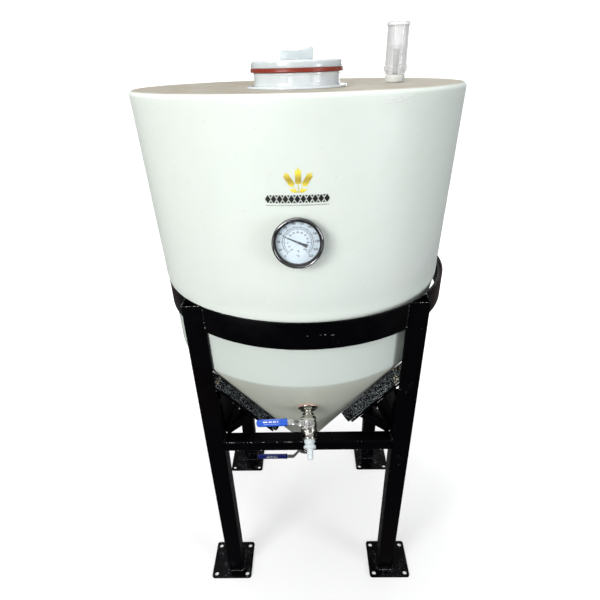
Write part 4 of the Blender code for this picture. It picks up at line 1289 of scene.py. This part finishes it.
# ---------------------------------------------------------------- thermometer
def make_case():
    floor = CASE_START + 0.0020
    outline = [(0.0050, CASE_START), (CASE_R - 0.006, CASE_START),
               (CASE_R - 0.0022, CASE_START + 0.0030), (CASE_R - 0.0022, CASE_START + 0.0056),
               (CASE_R - 0.0006, CASE_START + 0.0066), (CASE_R, CASE_START + 0.0084),
               (CASE_R, CASE_FRONT - 0.0026), (CASE_R - 0.0012, CASE_FRONT - 0.0006),
               (CASE_R - 0.0026, CASE_FRONT), (CASE_R - 0.0038, CASE_FRONT - 0.0008),
               (CASE_R - 0.0044, CASE_FRONT - 0.0030), (CASE_R - 0.0030, CASE_FRONT - 0.0032),
               (CASE_R - 0.0030, floor), (0.0050, floor)]
    fixed(solid_lathe(outline, 0.0008, 160), "case_bezel", "bezel",
          ["thermometer_case"], DIAL)
    front = CASE_FRONT - 0.0034
    gasket = [(FACE_R - 0.0001, FACE_TOP + 0.0008), (FACE_R - 0.0006, front),
              (FACE_R + 0.0002, front + 0.0020), (CASE_R - 0.0040, front + 0.0026),
              (CASE_R - 0.0032, front + 0.0018), (CASE_R - 0.0034, front - 0.0010),
              (CASE_R - 0.0034, FACE_TOP + 0.0008)]
    fixed(solid_lathe(gasket, 0.0004, 160), "case_gasket", "rubber", (), DIAL)

    glass_top = CASE_FRONT - 0.0035
    crown = [(0, glass_top + 0.0003), (0.016, glass_top + 0.0001),
             (FACE_R - 0.0008, glass_top - 0.0004), (FACE_R - 0.0008, glass_top - 0.0018),
             (0, glass_top - 0.0018)]
    fixed(turned(crown, 128), "lens_disc", "lens", ["thermometer_lens"], DIAL)

    face_low = floor + GAP
    face_r = CASE_R - 0.0033
    face = [(0.0020, face_low), (face_r, face_low), (face_r, FACE_TOP - 0.0003), (FACE_R, FACE_TOP),
            (0.0020, FACE_TOP)]
    fixed(turned(face, 128), "dial_plate", "dial", ["thermometer_dial"], DIAL)


def dial_turn(share):
    """Angle on the dial for a share of its scale, from lower left over the top to lower right."""
    return math.radians(228 - 276 * share)


def arc_band(radius, width, start, end, steps=90):
    """A flat curved stripe between two shares of the scale."""
    bm = bmesh.new()
    loops = []
    for step in range(steps + 1):
        angle = dial_turn(start + (end - start) * step / steps)
        loops.append([bm.verts.new(((radius + offset) * math.cos(angle),
                                    (radius + offset) * math.sin(angle), 0))
                      for offset in (-width / 2, width / 2)])
    for first, second in zip(loops, loops[1:]):
        bm.faces.new((first[0], first[1], second[1], second[0]))
    return bm


def tick(share, inner, outer, width):
    angle = dial_turn(share)
    along = Vector((math.cos(angle), math.sin(angle), 0))
    side = Vector((-along.y, along.x, 0)) * width / 2
    bm = bmesh.new()
    bm.faces.new([bm.verts.new(p) for p in (along * inner - side, along * outer - side,
                                           along * outer + side, along * inner + side)])
    return bm


def figure(text, size, at):
    """A flat number, centred on a point of the dial."""
    curve = bpy.data.curves.new("figure", "FONT")
    curve.body = text
    curve.size = size
    curve.align_x = "CENTER"
    curve.align_y = "CENTER"
    curve.offset = size * 0.022
    writing = bpy.data.objects.new("figure", curve)
    bpy.context.scene.collection.objects.link(writing)
    bpy.context.view_layer.update()
    mesh = bpy.data.meshes.new_from_object(writing.evaluated_get(bpy.context.evaluated_depsgraph_get()))
    bm = bmesh.new()
    bm.from_mesh(mesh)
    bmesh.ops.translate(bm, verts=bm.verts, vec=(at[0], at[1], 0))
    bpy.data.objects.remove(writing, do_unlink=True)
    bpy.data.meshes.remove(mesh)
    return bm


def figures(values, size, radius):
    """Numbers spaced evenly along the whole scale."""
    made = []
    for index, value in enumerate(values):
        angle = dial_turn(index / (len(values) - 1))
        made.append(figure(str(value), size, (radius * math.cos(angle), radius * math.sin(angle))))
    return made


def make_dial_print():
    """Two rings with their ticks, two rows of numbers and the signs of the two scales."""
    parts = [arc_band(0.0196, 0.00052, 0, 1), arc_band(0.0216, 0.00052, 0, 1)]
    for n in range(111):
        end = 0.0242 if n % 10 == 0 else 0.0234 if n % 5 == 0 else 0.0228
        parts.append(tick(n / 110, 0.0216, end, 0.00026 if n % 10 else 0.00056))
    for n in range(61):
        start = 0.0183 if n % 10 else 0.0170
        parts.append(tick(n / 60, start, 0.0196, 0.00026 if n % 10 else 0.00056))
    parts += figures(range(0, 221, 20), 0.0046, 0.0275)
    parts += figures(range(-20, 101, 10), 0.0034, 0.0144)
    parts += [figure("°F", 0.0044, (0, -0.0135)), figure("°C", 0.0044, (0, -0.0205))]
    lift = shift(0, 0, FACE_TOP + 0.00008)
    made = fixed(merged([(bm, lift) for bm in parts]), "dial_print", "ink", (), DIAL)
    made.data.polygons.foreach_set("use_smooth", [False] * len(made.data.polygons))


def make_pointer():
    """A slim hand with a flared tail, on a small domed hub."""
    low = FACE_TOP + 0.0005
    hand = prism([(-0.0232, 0.0002), (-0.0120, 0.0008), (-0.0030, 0.0012), (0.0030, 0.0018),
                  (0.0060, 0.0015), (0.0075, 0.0018), (0.0137, 0.0027), (0.0148, 0.0022),
                  (0.0138, 0), (0.0148, -0.0022), (0.0137, -0.0027), (0.0075, -0.0018),
                  (0.0060, -0.0015), (0.0030, -0.0018), (-0.0030, -0.0012), (-0.0120, -0.0008),
                  (-0.0232, -0.0002)], low, low + 0.0006)
    turn = DIAL @ Matrix.Rotation(HAND_TURN, 4, "Z")
    piece(hand, "hand_enamel", "pointer", "thermometer_hand",
          ["thermometer_pointer"], turn)
    hub = solid_lathe([(0, low + 0.0016), (0.0015, low + 0.0014), (0.0021, low + 0.0006),
                       (0.0021, low - 0.0002), (0, low - 0.0002)], 0.0002, 48)
    piece(hub, "hand_hub", "chrome", "thermometer_hand", (), DIAL)


# ---------------------------------------------------------------- valves
def threaded(radius, low, high, pitch, depth):
    """Outline points of a run of thread, as rings of crests and roots."""
    points = []
    z = low
    while z + pitch < high:
        points += [(radius - depth, z), (radius, z + pitch * 0.35), (radius, z + pitch * 0.6)]
        z += pitch
    return points + [(radius - depth, high)]


def make_valve_body(prefix, place):
    """Cast body with a bulging ball chamber, hexagon ends, gland boss and gland nut."""
    barrel = [(0.0061, BODY_START), (0.0122, BODY_START), (0.0126, BODY_START + 0.0012),
              (0.0126, -0.0142), (0.0140, -0.0132), (0.0154, -0.0100), (0.0160, -0.0050),
              (0.0161, 0.0), (0.0158, 0.0050), (0.0150, 0.0100), (0.0138, 0.0128), (0.0128, 0.0146),
              (0.0126, BODY_END - 0.0012), (0.0120, BODY_END), (0.0061, BODY_END)]
    band = [(0.0130, 0.0086), (0.0164, 0.0086), (0.0164, 0.0112), (0.0130, 0.0112)]
    boss = [(0, 0.0100), (0.0102, 0.0100), (0.0098, 0.0168), (0.0078, 0.0176),
            (0.0078, BOSS_TOP - 0.0006), (0.0072, BOSS_TOP), (0, BOSS_TOP)]
    parts = [(solid_lathe(barrel, 0.0006), None), (solid_lathe(band, 0.0006), None),
             (chamfered_hex(0.0312, BODY_START + 0.0012, -0.0110), None),
             (chamfered_hex(0.0302, 0.0148, BODY_END - 0.0012), None),
             (solid_lathe(boss, 0.0006, 64), STEM)]
    for hand in (-1, 1):
        stop = prism(rounded(0.0042, 0.0060, 0.0008), 0.0150, BOSS_TOP - 0.0008, 0.0004)
        parts.append((stop, STEM @ shift(hand * 0.0092, 0, 0)))
    fixed(merged(parts), f"{prefix}_body_cast", "steel",
          [f"{prefix}_valve_body"], place, 32)


def lever_path(prefix):
    low = BOSS_TOP + GAP
    step_up = LEVER_STEP[prefix]
    points = [(0.0085, low), (-0.0140, low)]
    for step in range(1, 8):
        t = step / 8
        ease = t * t * (3 - 2 * t)
        points.append((-0.0140 - 0.0200 * t, low + step_up * ease))
    points += [(-0.0340, low + step_up), (-LEVER_LENGTH[prefix] + 0.002, low + step_up)]
    return points


def make_lever(prefix, body, place):
    """A pressed strap with turned-down stop tabs; its grip is a dipped vinyl sleeve."""
    path = lever_path(prefix)
    bm = bmesh.new()
    over = [(x, y + LEVER_THICK) for x, y in reversed(path)]
    face = bm.faces.new([bm.verts.new((x, y, -LEVER_WIDTH / 2)) for x, y in path + over])
    raised(bm, [face], (0, 0, LEVER_WIDTH))
    parts = [(bevelled(bm, rims(bm, 2), 0.0004, 2), None)]
    plate_low = BOSS_TOP + GAP
    pad_plate = prism(rounded(0.0205, 0.0185, 0.0035), plate_low, plate_low + LEVER_THICK, 0.0004)
    parts.append((pad_plate, STEM @ shift(-0.0006, 0, 0)))
    for hand in (-1, 1):
        tab = prism(rounded(0.0105, 0.0022, 0.0008), plate_low - 0.0040, plate_low + LEVER_THICK,
                    0.0003)
        parts.append((tab, STEM @ shift(-0.0095, hand * 0.0098, 0)))
    piece(merged(parts), f"{prefix}_lever_strap", "strap", body,
          [f"{prefix}_lever"], place, 32)

    plate_top = plate_low + LEVER_THICK
    washer = solid_lathe([(0, plate_top), (0.0068, plate_top), (0.0068, plate_top + 0.0009),
                          (0, plate_top + 0.0009)], 0.0003, 48)
    nut = chamfered_hex(0.0120, plate_top + 0.0009, plate_top + 0.0046, 0.0008)
    end = threaded(0.0030, plate_top + 0.0040, plate_top + 0.0062, 0.0006, 0.0003)
    stud = turned([(0, plate_top + 0.0030)] + end
                  + [(0.0022, plate_top + 0.0066), (0, plate_top + 0.0066)], 32)
    piece(merged([(washer, STEM), (nut, STEM), (stud, STEM)]), f"{prefix}_lever_fixing", "chrome",
          body, [f"{prefix}_lever_nut"], place, 32)
    make_grip(prefix, body, place)


def make_grip(prefix, body, place):
    """Soft sleeve: rounded, with a rolled lip and a hang hole's rim."""
    length = GRIP_LENGTH[prefix]
    middle_x = -LEVER_LENGTH[prefix] + length / 2 - 0.0015
    height = BOSS_TOP + GAP + LEVER_STEP[prefix] + LEVER_THICK / 2
    at = place @ shift(middle_x, height, 0) @ STEM
    sleeve = prism(rounded(length, 0.0137, 0.0058, 10), -0.0033, 0.0033, 0.0016, 5)
    lip = prism(rounded(0.0040, 0.0145, 0.0016, 6), -0.0037, 0.0037, 0.0012, 4)
    parts = [(sleeve, None), (lip, shift(length / 2 - 0.0021, 0, 0))]
    rim = swept([(0.0024 * math.cos(a) - length / 2 + 0.0068, 0.0024 * math.sin(a), 0.0033)
                 for a in (2 * math.pi * n / 32 for n in range(33))], 0.0004, 8, False)
    parts.append((rim, None))
    piece(merged(parts), f"{prefix}_grip_sleeve", GRIP_LOOK[prefix], body,
          [f"{prefix}_grip"], at, 50)
    bars = []
    for x, wide in ((-0.0125, 0.0085), (-0.0030, 0.0060), (0.0048, 0.0060), (0.0110, 0.0025)):
        bars.append((prism(rounded(wide, 0.0022, 0.0006, 4), 0.00325, 0.00338), shift(x, 0.0006, 0)))
    for y in (-0.0036, 0.0046):
        bars.append((prism(rounded(0.030, 0.0003, 0.0001, 2), 0.00325, 0.00336), shift(0, y, 0)))
    piece(merged(bars), f"{prefix}_grip_marks", "white_ink", body, (), at, 50)


def make_racking_train():
    washer = [(0.0107, GAP), (0.0190, GAP), (0.0196, 0.0012), (0.0188, 0.0024), (0.0107, 0.0024)]
    fixed(solid_lathe(washer, 0.0006), "port_washer", "pink",
          ["racking_washer"], RACK)
    face = RACK_BALL + BODY_START - GAP
    barrel = [(0.0064, -0.018)] + threaded(0.0100, -0.018, 0.0015, 0.0018, 0.0007)
    barrel += [(0.0108, 0.0020), (0.0108, 0.0090), (0.0088, 0.0104), (0.0086, 0.0128),
               (0.0104, 0.0140), (0.0108, 0.0150), (0.0108, 0.0166), (0.0096, 0.0178),
               (0.0096, face), (0.0064, face)]
    flange = [(0.0064, 0.0026), (0.0196, 0.0026), (0.0199, 0.0034), (0.0194, 0.0042),
              (0.0064, 0.0042)]
    parts = [(solid_lathe(barrel, 0.0004), None), (solid_lathe(flange, 0.0004), None),
             (chamfered_hex(0.0300, 0.0040, 0.0092), None),
             (chamfered_hex(0.0245, 0.0142, 0.0172, 0.0006), None)]
    fixed(merged(parts), "port_fitting", "steel", ["racking_bulkhead"], RACK, 32)

    start = RACK_BALL + BODY_END + GAP
    barb = [(0.0034, start), (0.0098, start), (0.0104, start + 0.0010), (0.0104, start + 0.0050),
            (0.0086, start + 0.0062), (0.0086, start + 0.0105), (0.0118, start + 0.0116),
            (0.0118, start + 0.0162), (0.0100, start + 0.0176), (0.0060, start + 0.0186),
            (0.0056, start + 0.0215), (0.0062, start + 0.0235), (0.0052, start + 0.0280),
            (0.0058, start + 0.0300), (0.0048, start + 0.0375), (0.0034, start + 0.0375)]
    fixed(solid_lathe(barb, 0.0005), "hose_barb_moulding", "barb",
          ["racking_hose_barb"], RACK)


def make_dump_train():
    face = DUMP_BALL_Z - BODY_START + GAP
    seat = OUTLET_LOW - GAP
    shaft = [(0.0060, OUTLET_LOW + 0.020), (0.0136, OUTLET_LOW + 0.020), (0.0136, seat - 0.001),
             (0.0108, seat - 0.008), (0.0096, seat - 0.0095), (0.0108, seat - 0.0110),
             (0.0108, face), (0.0060, face)]
    parts = [(solid_lathe(shaft, 0.0004), None), (chamfered_hex(0.0380, seat - 0.0085, seat), None)]
    fixed(merged(parts), "outlet_fitting", "steel", ["dump_adapter"], TANK, 32)


def dress_cad():
    """CAD nodes that stay as they are get the same finishes."""
    kept = {"thermometer_washer": "rubber", "thermometer_probe": "steel", "thermometer_nut": "steel",
            "racking_locknut": "steel", "racking_valve_ball": "chrome", "racking_valve_stem": "steel",
            "dump_valve_ball": "chrome", "dump_valve_stem": "steel", "racking_arm": "steel"}
    for name, look in kept.items():
        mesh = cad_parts[name].data
        mesh.materials.clear()
        mesh.materials.append(LOOKS[look])


# ---------------------------------------------------------------- stage
def make_stage():
    """A white floor that sweeps up far behind, and a white wall round it for the other views."""
    bm = bmesh.new()
    profile = [(-6.0, 0.0), (2.5, 0.0)]
    profile += [(2.5 + 1.6 * math.sin(math.radians(a)), 1.6 - 1.6 * math.cos(math.radians(a)))
                for a in range(6, 91, 6)]
    profile.append((4.1, 7.0))
    rows = [[bm.verts.new((x, y, z)) for x in (-9.0, 9.0)] for y, z in profile]
    for first, second in zip(rows, rows[1:]):
        bm.faces.new((first[0], first[1], second[1], second[0]))
    wall = bmesh.new()
    bmesh.ops.create_cone(wall, cap_ends=False, segments=96, radius1=5.0, radius2=5.0, depth=12.0)
    look = Look("studio_white", (0.50, 0.50, 0.505), 0.85)
    look.set("Emission Color", (1.0, 1.0, 1.0, 1.0))
    away = look.node("ShaderNodeVectorMath")
    away.operation = "LENGTH"
    look.link(look.place, away.inputs[0])
    # painted light: the floor and wall glow, dimmer near the stand and brighter away from it, a painted
    # soft shadow round the object
    look.set("Emission Strength", look.ramp(away.outputs["Value"], 0.38, 1.5, 0.44, 0.95))
    floor = object_from(bm, "studio_floor")
    surround = object_from(wall, "studio_wall")
    surround.visible_shadow = False     # only the other views see it; the room's light passes
    for backdrop in (floor, surround):
        backdrop.data.shade_smooth()
        backdrop.data.materials.append(look.made)
        backdrop.visible_diffuse = False    # its glare doesn't flood the cone from below
        backdrop.visible_glossy = False


def area_light(name, at, aim, size, power, colour=(1, 1, 1)):
    data = bpy.data.lights.new(name, "AREA")
    data.shape = "RECTANGLE"
    data.size, data.size_y = size
    data.energy = power
    data.color = colour
    lamp = bpy.data.objects.new(name, data)
    bpy.context.scene.collection.objects.link(lamp)
    lamp.location = at
    lamp.rotation_euler = (Vector(aim) - Vector(at)).to_track_quat("-Z", "Y").to_euler()
    return lamp


def make_lights():
    world = bpy.data.worlds.new("studio")
    bpy.context.scene.world = world
    world.use_nodes = True
    tree = world.node_tree
    background = tree.nodes["Background"]
    background.inputs["Color"].default_value = (1.0, 1.0, 1.0, 1.0)
    up = tree.nodes.new("ShaderNodeSeparateXYZ")
    tree.links.new(tree.nodes.new("ShaderNodeTexCoord").outputs["Generated"], up.inputs["Vector"])
    dim = tree.nodes.new("ShaderNodeMapRange")      # a dark room under a pale ceiling
    dim.inputs["From Min"].default_value = -0.15
    dim.inputs["From Max"].default_value = 0.75
    dim.inputs["To Min"].default_value = 0.10
    dim.inputs["To Max"].default_value = 0.50
    tree.links.new(up.outputs["Z"], dim.inputs["Value"])
    tree.links.new(dim.outputs["Result"], background.inputs["Strength"])
    area_light("key", (-1.9, -2.5, 2.1), (0, 0, 0.75), (1.2, 1.2), 69, (1.0, 0.995, 0.97))
    area_light("fill", (2.3, -1.7, 1.2), (0, 0, 0.7), (1.0, 1.6), 30, (0.95, 0.98, 1.0))
    area_light("top", (-0.4, 0.3, 3.2), (0, 0, 0.0), (2.4, 2.4), 44)
    area_light("back", (0.5, 2.2, 0.75), (0, 0, 0.65), (1.6, 1.2), 14).visible_camera = False
    area_light("low_left", (-1.5, -1.7, 0.35), (-0.1, -0.1, 0.58), (1.2, 0.6), 5)
    for number in range(3):
        area_light(f"strip_{number}", (-0.62 - 0.16 * number, -2.5, 1.5), (0, 0, 1.1), (0.04, 1.2), 4)
    area_light("strip_right", (2.1, -1.35, 1.25), (0, 0, 1.0), (0.10, 1.3), 4)


def make_camera():
    data = bpy.data.cameras.new("camera")
    data.sensor_width = 36.0
    data.lens = CAMERA_LENS
    data.shift_y = CAMERA_SHIFT
    camera = bpy.data.objects.new("camera", data)
    bpy.context.scene.collection.objects.link(camera)
    pan = Matrix.Rotation(CAMERA_PAN, 4, "Z")
    pitch = Matrix.Rotation(math.pi / 2 - CAMERA_DOWN, 4, "X")
    roll = Matrix.Rotation(CAMERA_ROLL, 4, "Z")
    camera.matrix_world = Matrix.Translation(CAMERA_AT) @ pan @ pitch @ roll
    bpy.context.scene.camera = camera


def main():
    bpy.context.scene.view_settings.view_transform = "Standard"
    make_stage()
    make_lights()
    make_camera()
    make_stand()
    make_tank()
    make_decal()
    make_tape_marks()
    make_neck()
    make_lid()
    make_airlock()
    make_case()
    make_dial_print()
    make_pointer()
    make_racking_train()
    make_dump_train()
    make_valve_body("racking", RACK_VALVE)
    make_valve_body("dump", DUMP_VALVE)
    make_lever("racking", "racking_handle", RACK_VALVE)
    make_lever("dump", "dump_handle", DUMP_VALVE)
    dress_cad()


main()
